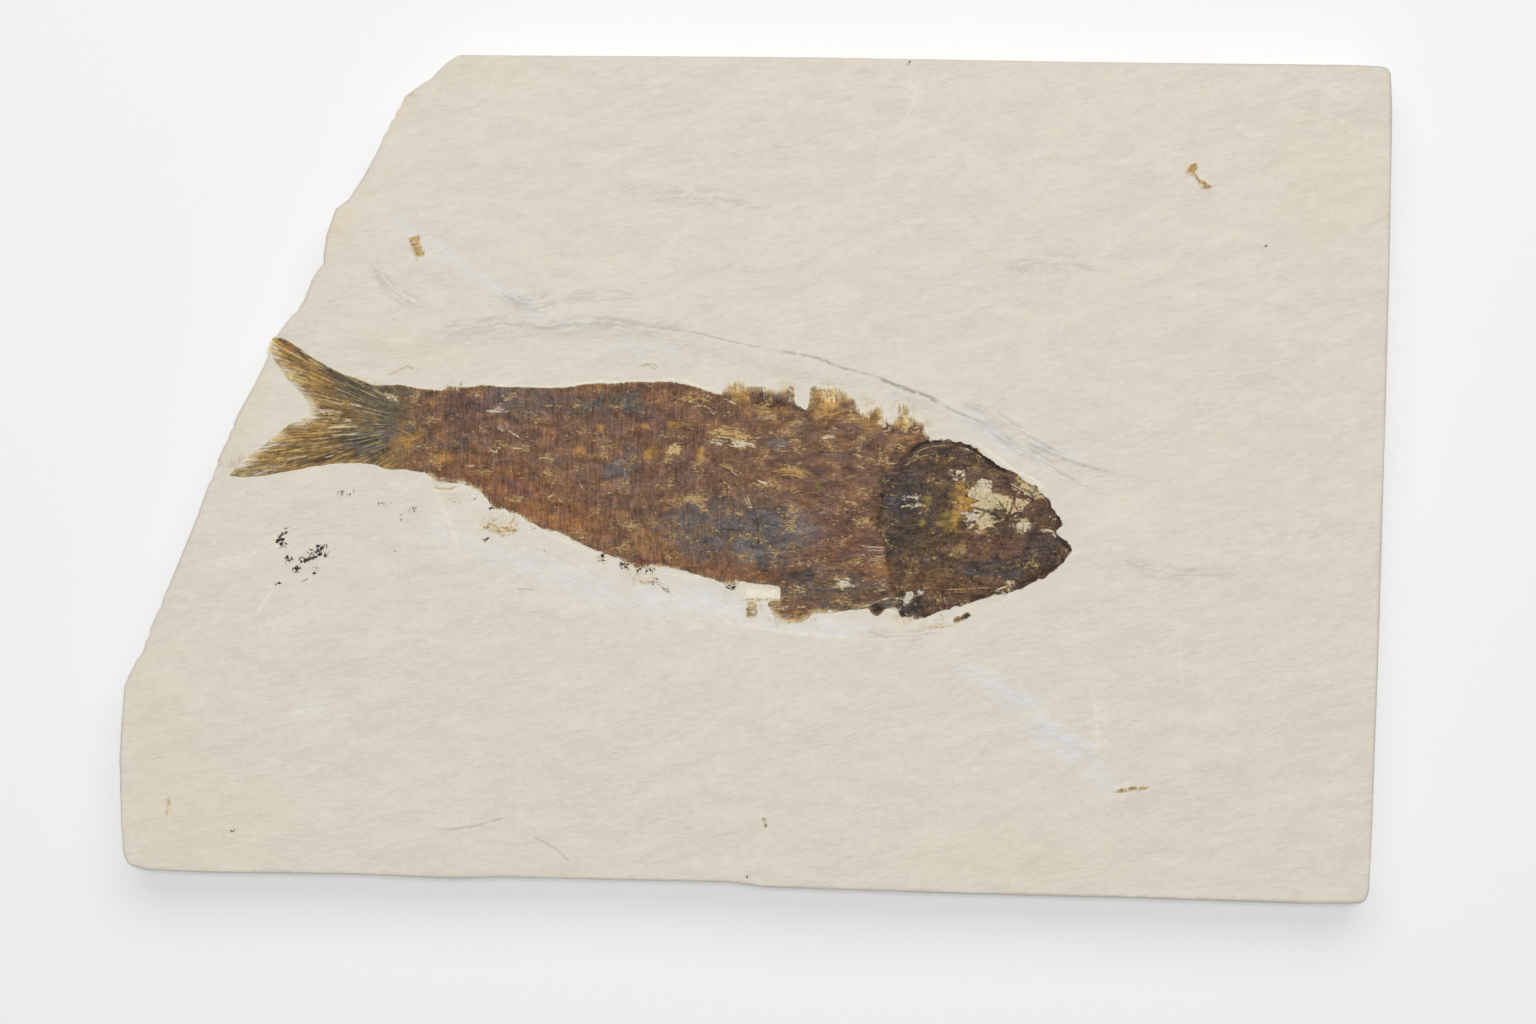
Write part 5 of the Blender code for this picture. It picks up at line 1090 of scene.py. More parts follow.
GOLD_HAIRS = [
    (0.1, 0.8, [(-9.5, 10.9), (-8.7, 11.3), (-7.3, 11.2), (-6.2, 10.7)]),
    (0.13, 0.9, [(-6.4, 6.9), (-4.5, 6.7), (-2.2, 6.1), (-0.3, 5.8)]),
    (0.13, 0.9, [(-5.9, 6.1), (-3.9, 5.8), (-1.7, 5.4)]),
    (0.1, 0.7, [(-5.0, 7.5), (-3.1, 7.2), (-1.1, 6.9)]),
    (0.11, 0.8, [(-7.8, 7.8), (-6.2, 7.6)]),
    (0.11, 0.8, [(2.4, 1.1), (4.1, 1.3), (5.6, 1.1), (7.0, 0.4)]),
    (0.1, 0.7, [(3.4, 0.5), (5.1, 0.6), (6.6, 0.1)]),
    (0.1, 0.7, [(5.5, 1.3), (6.6, 0.9)]),
    (0.11, 0.8, [(-5.2, 2.2), (-3.9, 1.6), (-2.5, 1.1), (-1.7, 0.5)]),
    (0.08, 0.6, [(-4.5, 2.3), (-3.2, 1.8)]),
    (0.1, 0.7, [(-9.8, -2.9), (-8.3, -2.7), (-6.6, -3.0)]),
    (0.1, 0.7, [(-9.2, -3.3), (-7.6, -3.4)]),
    (0.11, 0.8, [(-12.2, 3.9), (-11.6, 4.7), (-11.1, 5.1)]),
    (0.1, 0.7, [(-7.8, 4.4), (-7.7, 3.0)]),
    (0.1, 0.6, [(-8.1, 3.9), (-7.3, 3.9)]),
    (0.1, 0.6, [(-21.9, 7.8), (-21.6, 6.8), (-21.2, 5.8)]),
    (0.1, 0.7, [(-49.2, 4.6), (-48.3, 5.4), (-47.1, 6.1), (-46.0, 6.7)]),
    (0.08, 0.6, [(-50.5, 7.2), (-49.4, 6.7), (-48.0, 6.1)]),
    (0.08, 1.0, [(26.4, -15.5), (29.3, -15.4), (32.9, -15.2)]),
    (0.06, 0.8, [(26.7, -15.9), (29.8, -15.8)]),
    (0.08, 0.6, [(35.9, -2.6), (36.2, -3.7), (36.8, -4.7)]),
    (0.08, 0.6, [(34.8, -2.9), (35.2, -4.0)]),
    (0.1, 0.7, [(25.6, -17.8), (26.5, -18.5), (27.4, -19.7)]),
    (0.08, 0.6, [(12.6, -2.9), (13.5, -3.3), (14.3, -3.7)]),
    (0.08, 0.6, [(17.4, -3.6), (18.5, -4.0)]),
]
SOOT_HAIRS = [
    (0.24, 0.95, [(21.3, 3.7), (23.0, 4.8), (25.0, 5.4), (26.3, 5.3)]),
    (0.25, 0.95, [(28.9, 4.8), (30.3, 4.3), (31.6, 3.4), (33.1, 2.3), (34.4, 1.5), (36.1, 0.6)]),
    (0.13, 0.85, [(36.5, 0.9), (38.2, -0.2), (39.6, -1.3), (40.7, -2.6), (41.4, -3.7)]),
    (0.11, 0.65, [(37.1, -0.1), (38.8, -1.2), (39.9, -2.3)]),
    (0.21, 0.85, [(41.4, -3.3), (42.1, -4.6), (42.7, -5.7), (42.8, -6.8)]),
    (0.18, 0.9, [(42.8, -8.6), (43.5, -9.3), (44.1, -10.0), (43.8, -11.0)]),
    # The soot line across the orbit, from x 32.2 to 35.7 at y -5.8, is a painted shadow line
    (0.13, 0.8, [(32.2, -5.8), (33.8, -5.7), (35.7, -5.8)]),
    (0.13, 0.6, [(33.3, -4.7), (33.8, -4.1), (34.5, -3.7)]),
    (0.13, 0.7, [(37.9, -7.5), (39.6, -7.8), (41.0, -7.6)]),
    (0.11, 0.6, [(10.7, -19.2), (13.2, -18.5), (15.7, -17.8)]),
    (0.14, 0.9, [(7.0, -13.3), (7.6, -13.7), (8.2, -13.4)]),
    (0.14, 0.9, [(5.8, -14.7), (6.3, -14.9)]),
    (0.11, 0.9, [(-41.7, 13.1), (-40.1, 13.1), (-39.0, 13.1)]),
    (0.22, 0.9, [(-43.6, 13.0), (-42.9, 13.3), (-42.4, 13.0)]),
    (0.1, 0.6, [(0.0, -5.0), (0.3, -7.1), (0.4, -9.6)]),
    (0.08, 0.5, [(-0.8, -2.6), (-0.1, -4.6)]),
    (0.11, 0.6, [(-53.9, 13.4), (-52.2, 13.7), (-50.5, 13.4), (-48.8, 13.1)]),
    (0.08, 0.5, [(-51.1, 12.0), (-49.4, 11.6), (-48.3, 12.0)]),
    (0.08, 0.5, [(-53.5, 10.9), (-51.9, 9.8), (-50.5, 9.2)]),
    (0.17, 1.0, [(18.3, 8.4), (18.4, 7.8), (18.5, 7.2)]),
    (0.13, 0.9, [(19.2, 7.2), (19.4, 6.5)]),
    (0.11, 0.8, [(17.4, 7.9), (17.6, 7.4)]),
    (0.11, 0.5, [(15.9, -15.2), (17.4, -15.8), (18.8, -16.6)]),
    (0.1, 0.55, [(20.2, 0.9), (21.9, 2.3), (23.7, 3.2), (25.6, 3.3)]),
    (0.11, 0.6, [(34.3, -15.5), (35.4, -15.9), (36.2, -15.2)]),
    (0.17, 0.7, [(36.5, -14.7), (38.8, -14.0), (41.0, -12.8), (43.0, -11.7)]),
    (0.17, 0.85, [(30.9, -4.1), (32.6, -4.6), (34.3, -5.5), (35.7, -5.7)]),
    (0.15, 0.8, [(33.4, -2.5), (34.5, -3.6), (35.1, -4.8)]),
    (0.14, 0.7, [(36.2, -2.6), (36.5, -4.0), (37.3, -5.1)]),
    (0.14, 0.7, [(31.2, -5.7), (32.0, -4.8), (33.1, -4.0)]),
    (0.13, 0.8, [(-60.9, 8.8), (-59.2, 9.0), (-57.4, 8.8)]),
    (0.13, 0.8, [(-60.3, 7.6), (-58.4, 7.9), (-56.4, 7.8)]),
    (0.13, 0.7, [(-59.8, 6.6), (-58.1, 6.8), (-56.1, 6.9)]),
    (0.11, 0.6, [(-53.9, 6.7), (-52.2, 7.2), (-50.5, 7.8)]),
    (0.11, 0.6, [(-58.4, 5.0), (-56.1, 5.4), (-53.9, 5.8)]),
]


def rounded(loop):
    """The loop with each corner cut at a quarter of its sides, twice (Chaikin's curve)."""
    for _ in range(2):
        ahead = np.roll(loop, -1, axis=0)
        loop = np.stack([0.75 * loop + 0.25 * ahead, 0.25 * loop + 0.75 * ahead], axis=1).reshape(-1, 2)
    return loop


def signed_depth(x, y, loop):
    """Distance to the closed loop's nearest side, positive inside it, which is where a line along X
    crosses it an odd number of times. It is worked out a few thousand points at a time."""
    ends = np.roll(loop, -1, axis=0)
    step = ends - loop
    square = (step * step).sum(axis=1)
    rise = np.where(step[:, 1] == 0.0, 1.0, step[:, 1])
    parts = []
    for start in range(0, len(x), 6000):
        px, py = x[start : start + 6000, None], y[start : start + 6000, None]
        to_x, to_y = px - loop[:, 0], py - loop[:, 1]
        share = np.clip((to_x * step[:, 0] + to_y * step[:, 1]) / square, 0.0, 1.0)
        distance = np.hypot(to_x - share * step[:, 0], to_y - share * step[:, 1]).min(axis=1)
        spans = (loop[:, 1] > py) != (ends[:, 1] > py)
        crossing = spans & (px < loop[:, 0] + to_y * step[:, 0] / rise)
        inside = crossing.sum(axis=1) % 2 == 1
        parts.append(np.where(inside, distance, -distance))
    return np.concatenate(parts)


def film_solid(loop, cell, height, floor, buried=0.45):
    """A thin film as a closed mesh: a square grid over the loop, whose height comes from
    height(x, y, depth), a skirt down from its rim and a flat floor.

    The rim lies outside the loop, where the height is below the stone, so the film's edge
    is where they meet. Where two cells touch at a corner alone, the two beside them join in.
    """
    low = loop.min(axis=0) - 2.0 * buried
    size = np.ceil((loop.max(axis=0) + 2.0 * buried - low) / cell).astype(int)
    x, y = np.meshgrid(low[0] + cell * np.arange(size[0] + 1), low[1] + cell * np.arange(size[1] + 1))
    depth = signed_depth(x.ravel(), y.ravel(), loop)
    kept = (depth > -buried).reshape(x.shape)
    kept = kept[:-1, :-1] & kept[:-1, 1:] & kept[1:, :-1] & kept[1:, 1:]
    for _ in range(4):
        a, b, c, d = kept[:-1, :-1], kept[:-1, 1:], kept[1:, :-1], kept[1:, 1:]
        pinch = (a & d & ~b & ~c) | (b & c & ~a & ~d)
        kept = kept.copy()
        for quarter in (kept[:-1, :-1], kept[:-1, 1:], kept[1:, :-1], kept[1:, 1:]):
            quarter |= pinch
    row, column = np.nonzero(kept)
    index = np.arange(x.size).reshape(x.shape)
    steps = ((0, 0), (0, 1), (1, 1), (1, 0))
    cells = np.column_stack([index[row + up, column + along_row] for up, along_row in steps])
    used, cells = np.unique(cells, return_inverse=True)
    cells = cells.reshape(-1, 4)
    x, y, depth = x.ravel()[used], y.ravel()[used], depth[used]
    count = len(used)
    edges = np.concatenate([cells[:, [0, 1]], cells[:, [1, 2]], cells[:, [2, 3]], cells[:, [3, 0]]])
    border = edges[~np.isin(edges @ (count, 1), edges[:, ::-1] @ (count, 1))]
    rim = np.unique(border)
    lower = np.zeros(count, int)
    lower[rim] = count + np.arange(len(rim))
    skirt = np.column_stack([border[:, 1], border[:, 0], lower[border[:, 0]], lower[border[:, 1]]])
    flat = np.column_stack([x[rim], y[rim]])
    under = triangles_inside(flat, np.searchsorted(rim, border))
    top = np.column_stack([x, y, height(x, y, depth)])
    points = np.concatenate([top, np.column_stack([flat, np.full(len(rim), floor)])])
    return {
        "points": points,
        "cells": cells,
        "skirt": skirt,
        "under": (count + under)[:, ::-1],
        "depth": np.concatenate([depth, depth[rim]]),
    }


CRUST_FADE = (0.6, 1.2)
GROUND_FADE = (0.3, 1.35)


def paint_colour(paint):
    """The named paint as linear red, green and blue."""
    return np.array(linear(PAINTS[paint])[:3])


def lay_blooms(x, y, dark, blooms):
    """Three fields of the film: its dark ground colour, its pale crust's colour, and how much crust.

    Each bloom is a turned ellipse with a soft edge. Noise bends its outline by up to half its
    width and roughens its edge. Dark paints are laid over the ground, and pale ones are crust.
    """
    dark = dark.copy()
    pale, crust = np.tile(paint_colour("crumb"), (len(x), 1)), np.zeros(len(x))
    bend_x, bend_y = layered_noise(x / 1.3, y / 1.0, 201.0, 4), layered_noise(x / 1.3, y / 1.0, 211.0, 4)
    rough = 0.3 * layered_noise(x / 0.7, y / 0.4, 221.0)
    for middle_x, middle_y, length, width, turn, paint, strength in blooms:
        cosine, sine = np.cos(np.radians(turn)), np.sin(np.radians(turn))
        u, v, reach = x - middle_x, y - middle_y, 1.8 * max(length, width)
        near = np.flatnonzero((np.abs(u) < reach) & (np.abs(v) < reach))
        give_way = 0.06 + 0.42 * min(length, width, 2.2)
        u, v = u[near] + give_way * bend_x[near], v[near] + give_way * bend_y[near]
        reach = np.hypot((cosine * u + sine * v) / length, (cosine * v - sine * u) / width)
        colour = paint_colour(paint)
        if paint in CRUST_PAINTS:
            share = strength * (1.0 - smooth_step(reach + rough[near], *CRUST_FADE))
            pale[near] += np.minimum(3.0 * share, 1.0)[:, None] * (colour - pale[near])
            crust[near] = np.maximum(crust[near], share)
        else:
            share = strength * (1.0 - smooth_step(reach + rough[near], *GROUND_FADE))
            dark[near] += share[:, None] * (colour - dark[near])
            crust[near] *= 1.0 - 0.8 * share
    return dark, pale, crust


def give_film_fields(piece, x, y, ground, blooms, plain):
    """Puts the blooms' three fields on a film's points, and the plain ones named beside them."""
    for name, values in zip(("film", "pale", "crust"), lay_blooms(x, y, ground, blooms)):
        give(piece, name, values)
    for name, values in plain.items():
        give(piece, name, np.broadcast_to(values, len(x)))


def add_film(name, mesh, material):
    """A film's mesh as a piece, with a crease where its face turns down into its skirt."""
    quads = np.concatenate([mesh["cells"], mesh["skirt"]])
    return add_piece(name, mesh["points"], quads, mesh["under"], material, 70.0)


def ray_turn(x, y):
    """Which ray of the tail a place lies on, counted from the upper lobe, and its distance from the root."""
    angle = np.degrees(np.arctan2(y - RAY_ROOT[1], x - RAY_ROOT[0])) % 360.0
    turn = (angle - RAY_ANGLES[0]) / (RAY_ANGLES[1] - RAY_ANGLES[0]) * (RAY_COUNT - 1)
    return turn, np.hypot(x - RAY_ROOT[0], y - RAY_ROOT[1])


def head_share(x, y):
    """1 in front of the gill cover's rear edge, which noise makes uneven, and 0 behind it."""
    edge_x, edge_y = np.transpose(GILL_EDGE[::-1])
    uneven = 0.35 * layered_noise(x / 1.6, y / 1.6, 97.0, 4)
    return smooth_step(x + uneven - np.interp(y, edge_y, edge_x), *GILL_STEP)


def fish_film(x, y, depth):
    """Height of the fish's upper face: the stone's, plus the film's relief with its ragged edge.

    The body is domed from its edge, the head is a plate one step higher with a sunk orbit
    and the mouth's groove, and the tail has a ridge along each ray.
    """
    tufted, frayed = wash_field(x, y, TUFTED, 0.0), wash_field(x, y, FRAYED, 0.0)
    turn, _ = ray_turn(x, y)
    tail = smooth_step(TAIL_END - x, 0.0, TAIL_BLEND)
    upright = layered_noise(x / 0.34, y / 1.3, 81.0)
    crumbs = layered_noise(x / 0.9, y / 0.9, 83.0)
    head = head_share(x, y)
    edge = depth + (0.08 + 0.16 * head) * crumbs + 0.12 * tufted * (upright + crumbs)
    edge += 0.35 * frayed * (1.0 - tail) * crumbs
    thin = np.maximum(tufted, frayed)
    film = FILM_EDGE + (THIN_FILM - FILM_EDGE) * np.maximum(thin, 0.8 * tail)
    height = (RIM_DROP + film) * smooth_step(edge, -0.25, 0.12 + 0.6 * thin) - RIM_DROP
    height += BODY_DOME * smooth_step(depth, 0.0, BODY_DOME_REACH) * (1.0 - tail)
    plates = head * (HEAD_STEP + HEAD_DOME * smooth_step(depth, 0.0, HEAD_DOME_REACH))
    height += plates * smooth_step(depth, 0.0, HEAD_EDGE)
    across = (x - ORBIT_CENTRE[0]) / ORBIT_RADII[0]
    up = (y - ORBIT_CENTRE[1]) / ORBIT_RADII[1]
    height -= ORBIT_DEPTH * np.exp(-(across**2 + up**2))
    (front_x, front_y), (rear_x, rear_y) = JAW_LINE
    jaw_y = rear_y + (x - rear_x) * (front_y - rear_y) / (front_x - rear_x)
    groove = np.exp(-(((y - jaw_y) / JAW_GROOVE_WIDTH) ** 2)) * smooth_step(x - rear_x, 0.0, 2.0)
    height -= JAW_GROOVE_DEPTH * groove * smooth_step(depth, -0.1, 0.8)
    inner = smooth_step(depth, 0.0, 0.7)
    rays = 0.5 + 0.5 * np.cos(2.0 * np.pi * turn) + 0.3 * np.cos(6.0 * np.pi * turn)
    height += RAY_HEIGHT * rays * tail * inner
    height += inner * (0.03 * crumbs + (0.02 + 0.035 * head) * layered_noise(x / 0.7, y / 0.45, 91.0))
    return stone_surface(x, y) + height


def lerp(tree, share, below, above):
    """The value socket of a Mix node: below where the share is 0, above where it is 1.0"""
    return add(tree, "ShaderNodeMix", {0: share, 2: below, 3: above}, data_type="FLOAT").outputs[0]


def make_bone_group():
    """How bone and scale break up. Mottle, Tint, Flecks, Pits and Hair are noises about 0.5, Veins is
    1 on thin winding lines, Hair is upright where Run is 0 and level where it is 1, Flecks are drawn
    out where Crumb is 0 and round where it is 1, and Height is in millimetres."""
    inputs = [("Place", "NodeSocketVector"), ("Run", "NodeSocketFloat"), ("Crumb", "NodeSocketFloat")]
    names = ["Mottle", "Tint", "Hair", "Grain", "Flecks", "Pits", "Veins", "Height"]
    tree, given, out = new_group("bone_and_scale", inputs, names)
    place = given["Place"]
    mottle = stretched_noise(tree, place, (0.4, 0.62), 6.0, 0.72, 3.0, 0.6)
    tint = stretched_noise(tree, place, (0.26, 0.5), 6.0, 0.68, 83.0, 0.6)
    upright = stretched_noise(tree, place, (3.0, 0.4), 3.0, 0.66, 13.0, 0.4)
    level = stretched_noise(tree, place, (0.5, 2.4), 3.0, 0.62, 23.0, 0.7)
    hair = lerp(tree, ramp(tree, given["Run"], 0.0, 1.0, 0.1, 0.85), upright, level)
    grain = stretched_noise(tree, place, (4.2, 4.6), 2.0, 0.6, 7.0)
    clusters = stretched_noise(tree, place, (0.3, 0.55), 2.0, 0.5, 47.0)
    drawn_out = stretched_noise(tree, place, (1.7, 4.2), 4.0, 0.7, 37.0, 0.5)
    crumbly = stretched_noise(tree, place, (2.1, 2.6), 5.0, 0.74, 41.0, 0.5)
    flecks = lerp(tree, given["Crumb"], drawn_out, crumbly)
    flecks = scaled(tree, clusters, 0.7, maths(tree, "SUBTRACT", flecks, 0.35))
    pits = stretched_noise(tree, place, (1.2, 1.5), 4.0, 0.7, 53.0, 0.4)
    winding = stretched_noise(tree, place, (0.95, 1.15), 4.0, 0.62, 61.0, 0.8)
    off = maths(tree, "ABSOLUTE", maths(tree, "SUBTRACT", winding, 0.5))
    veins = ramp(tree, off, 0.002, 0.028, 1.0, 0.0)
    height = times(tree, hair, 0.06)
    height = scaled(tree, flecks, 0.1, height)
    height = scaled(tree, mottle, 0.16, height)
    height = scaled(tree, pits, -0.07, height)
    sockets = (mottle, tint, hair, grain, flecks, pits, veins, height)
    for name, socket in zip(names, sockets):
        tree.links.new(socket, out[name])
    return tree


BONE_AND_SCALE = make_bone_group()
AMBER_TINT = linear("93693C")
SLATE_TINT = linear("5A555A")
PIT_BROWN = linear("2A1D15")
GOLD_CRUST = linear("A07B4A")
GOLD_HAIR = linear("C39E5C")
CREAM_HAIR = linear("DCCDAA")
SOOT_HAIR = linear("2B231E")
GOLD_WASH = linear("A88A58")
STRAW_WASH = linear("CBB78A")
RAY_STRAW = linear("D6C08A")
RAY_BROWN = linear("4A3820")


def make_fish_finish():
    """Pressed bone and scale over limestone: the painted blooms, broken up, with ray streaks on the tail."""
    material = bpy.data.materials.new("bone_and_scale_finish")
    material.use_nodes = True
    tree = material.node_tree
    shader = tree.nodes["Principled BSDF"]
    place = millimetres(tree)
    bone = add(tree, "ShaderNodeGroup", node_tree=BONE_AND_SCALE)
    tree.links.new(place, bone.inputs["Place"])
    tree.links.new(read(tree, "run"), bone.inputs["Run"])
    tree.links.new(read(tree, "bony"), bone.inputs["Crumb"])
    noise = bone.outputs
    grain = add(tree, "ShaderNodeGroup", node_tree=LIMESTONE_GRAIN)
    tree.links.new(place, grain.inputs["Place"])
    on_tail, bony = read(tree, "tail"), read(tree, "bony")
    ray_place = read(tree, "ray", "Vector")
    rays = stretched_noise(tree, ray_place, (4.2, 0.17), 4.0, 0.76)
    hair = lerp(tree, on_tail, noise["Hair"], rays)

    colour = read(tree, "film", "Color")
    off_tail = maths(tree, "SUBTRACT", 1.0, times(tree, on_tail, 0.7))
    off_tail = scaled(tree, bony, -0.35, off_tail)
    warm = times(tree, ramp(tree, noise["Tint"], 0.5, 0.72, 0.0, 0.42), off_tail)
    colour = blend(tree, warm, colour, AMBER_TINT)
    cool = times(tree, ramp(tree, noise["Tint"], 0.5, 0.3, 0.0, 0.38), off_tail)
    colour = blend(tree, cool, colour, SLATE_TINT)
    shade = scaled(tree, noise["Mottle"], 2.5, -0.22)
    shade = times(tree, shade, scaled(tree, hair, 2.0, 0.03))
    shade = times(tree, shade, scaled(tree, noise["Grain"], 1.0, 0.5))
    colour = blend(tree, 1.0, colour, shade, "MULTIPLY")
    pits = ramp(tree, noise["Pits"], 0.55, 0.68, 0.0, 0.8)
    pits = times(tree, pits, scaled(tree, bony, 0.55, 0.45))
    colour = blend(tree, pits, colour, PIT_BROWN)
    veins = times(tree, times(tree, noise["Veins"], bony), 0.7)

    laid = read(tree, "crust")
    crust = scaled(tree, laid, 0.17, noise["Flecks"])
    crust = scaled(tree, maths(tree, "POWER", laid, 5.0), 0.28, crust)
    crust = scaled(tree, read(tree, "flecked"), 0.08, crust)
    colour = blend(tree, ramp(tree, crust, 0.6, 0.76, 0.0, 0.32), colour, GOLD_CRUST)
    crust = ramp(tree, crust, 0.68, 0.82, 0.0, 0.94)
    pale = read(tree, "pale", "Color")
    pale_shade = scaled(tree, noise["Grain"], 0.5, 0.75)
    colour = blend(tree, crust, colour, blend(tree, 1.0, pale, pale_shade, "MULTIPLY"))
    colour = blend(tree, veins, colour, PIT_BROWN)
    unsteady = scaled(tree, noise["Mottle"], 2.4, -1.2)
    gold = drawn_line(tree, "gold", unsteady, noise["Flecks"], 0.36, 0.5)
    colour = blend(tree, gold, colour, GOLD_HAIR)
    cream = drawn_line(tree, "cream", unsteady, noise["Flecks"], 0.36, 0.48)
    colour = blend(tree, cream, colour, CREAM_HAIR)
    soot = drawn_line(tree, "soot", unsteady, noise["Pits"], 0.36, 0.48)
    colour = blend(tree, soot, colour, SOOT_HAIR)

    straw = times(tree, ramp(tree, rays, 0.54, 0.7, 0.0, 0.75), on_tail)
    colour = blend(tree, straw, colour, RAY_STRAW)
    dark = times(tree, ramp(tree, rays, 0.49, 0.35, 0.0, 0.85), on_tail)
    colour = blend(tree, dark, colour, RAY_BROWN)

    cover, tuft = read(tree, "cover"), read(tree, "tuft")
    thinned, on_tuft = ramp(tree, cover, 0.35, 0.95, 0.85, 0.0), ramp(tree, tuft, 0.85, 1.0, 0.0, 0.75)
    washed = maths(tree, "MAXIMUM", thinned, on_tuft)
    washed = times(tree, washed, maths(tree, "SUBTRACT", 1.0, bony))
    brushed = blend(tree, ramp(tree, hair, 0.4, 0.56), GOLD_WASH, STRAW_WASH)
    colour = blend(tree, washed, colour, blend(tree, 1.0, brushed, shade, "MULTIPLY"))
    # The stone under a thinned film takes the grain's Shade, which is partly painted shade of the ripples
    stone = blend(tree, 1.0, STONE_BUFF, grain.outputs["Shade"], "MULTIPLY")
    frayed = lerp(tree, on_tail, lerp(tree, tuft, noise["Pits"], noise["Hair"]), rays)
    frayed = maths(tree, "SUBTRACT", frayed, 0.5)
    swing = lerp(tree, maths(tree, "MAXIMUM", tuft, on_tail), 2.4, 4.0)
    worn = scaled(tree, frayed, swing, scaled(tree, cover, 1.6, -0.35))
    covered = ramp(tree, worn, 0.2, 0.72)
    colour = blend(tree, covered, stone, colour)
    tree.links.new(colour, shader.inputs["Base Color"])
    rough = scaled(tree, noise["Flecks"], 0.25, 0.52)
    tree.links.new(lerp(tree, covered, 0.8, rough), shader.inputs["Roughness"])
    height = lerp(tree, covered, grain.outputs["Height"], noise["Height"])
    bump = add(tree, "ShaderNodeBump", {"Strength": 0.75, "Distance": MM, "Height": height})
    tree.links.new(bump.outputs[0], shader.inputs["Normal"])
    shader.inputs["Specular IOR Level"].default_value = 0.22
    return material


fish_loop = rounded(np.array(FISH_OUTLINE))
fish_mesh = film_solid(fish_loop, FILM_CELL, fish_film, FILM_FLOOR)
fish = add_film("dressed_fossil_fish", fish_mesh, make_fish_finish())
fish_x, fish_y = fish_mesh["points"][:, :2].T
fish_head, on_tail = head_share(fish_x, fish_y), smooth_step(RAY_PAINT_END - fish_x, 0.0, RAY_PAINT_BLEND)
fish_ground = paint_colour("brown") + fish_head[:, None] * (paint_colour("skull") - paint_colour("brown"))
fish_ground += on_tail[:, None] * (paint_colour("ray_gold") - fish_ground)
# The film thins out towards its edge, further in on the tail and the tufts
tufted = wash_field(fish_x, fish_y, TUFTED, 0.0)
thin = np.maximum(tufted, wash_field(fish_x, fish_y, FRAYED, 0.0))
fray_reach = 1.7 + 0.2 * tufted + 1.0 * on_tail
fray_share = 0.75 + 0.07 * tufted - 0.12 * on_tail
cover = 1.0 - fray_share * thin * (1.0 - smooth_step(fish_mesh["depth"], -0.1, fray_reach))
# Its hairs lie level in front and stand upright behind and on the tufts of the back
level_front = smooth_step(fish_x, -8.0, 6.0) * (1.0 - tufted * smooth_step(fish_y, -6.0, 6.0))
flecked = (0.45 + 0.55 * smooth_step(fish_x, -30.0, 8.0)) * (1.0 - on_tail) * (1.0 - 0.55 * fish_head)
fish_blooms = BODY_GROUND + TAIL_BLOOMS + REAR_BLOOMS + MIDDLE_BLOOMS + TUFT_BLOOMS + HEAD_BLOOMS
give_film_fields(fish, fish_x, fish_y, fish_ground, fish_blooms, {
    "bony": fish_head,
    "tail": on_tail,
    "cover": cover - 0.35 * (1.0 - smooth_step(fish_mesh["depth"], -0.15, 0.35)),
    "tuft": tufted,
    "run": level_front,
    "flecked": flecked,
})
ray_attribute = fish.data.attributes.new("ray", "FLOAT_VECTOR", "POINT")
ray_places = np.column_stack([*ray_turn(fish_x, fish_y), np.zeros(len(fish_x))])
ray_attribute.data.foreach_set("vector", ray_places.astype(np.float32).ravel())
for hair_name, hairs in (("cream", CREAM_HAIRS), ("gold", GOLD_HAIRS), ("soot", SOOT_HAIRS)):
    hair_across, _, hair_ink = line_field(fish_x, fish_y, hairs, 1.3 * FILM_CELL)
    give(fish, hair_name + "_across", hair_across)
    give(fish, hair_name + "_ink", hair_ink)


def film_bake_map(mesh, split=True):
    """The upper face in two halves, one over the other, with the skirt and floor squashed below."""
    points, cells, skirt, under = mesh["points"], mesh["cells"], mesh["skirt"].ravel(), mesh["under"].ravel()
    low, high = points[:, :2].min(axis=0), points[:, :2].max(axis=0)
    flat = (points[:, :2] - low) / (high - low)
    tall = (points[:, 2] - points[:, 2].min()) / 2.0
    left, width, face_foot = 0.02, 0.94, 0.14
    u, v = flat[cells.ravel()].T
    if split:
        front = np.repeat(flat[cells][:, :, 0].mean(axis=1) > 0.5, 4)
        face_uv = np.column_stack([left + width * (2.0 * u - front), face_foot + 0.42 * front + 0.4 * v])
    else:
        face_uv = np.column_stack([left + width * u, face_foot + 0.82 * v])
    skirt_v = 0.01 + 0.05 * flat[skirt, 1] + 0.01 * tall[skirt]
    skirt_uv = np.column_stack([left + width * flat[skirt, 0], skirt_v])
    under_uv = np.column_stack([left + width * flat[under, 0], 0.08 + 0.04 * flat[under, 1]])
    return np.concatenate([face_uv, skirt_uv, under_uv])


give_bake_map(fish, film_bake_map(fish_mesh))
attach(fish, "root")
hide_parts("fossil_fish")

# ---------------------------------------------------------------------------------------
# The loose flakes. Scraps of scale, fin and throat bone that drifted off the fish before
# it was buried. Each is a thin film of its own, set in the stone where it fell.
# ---------------------------------------------------------------------------------------
FLAKE_HEIGHT = 0.18
FLAKE_SEAT = 0.3
FLAKE_CELL = 0.07
FLAKE_BURIED = 0.22
LEAST_COVER = 0.2
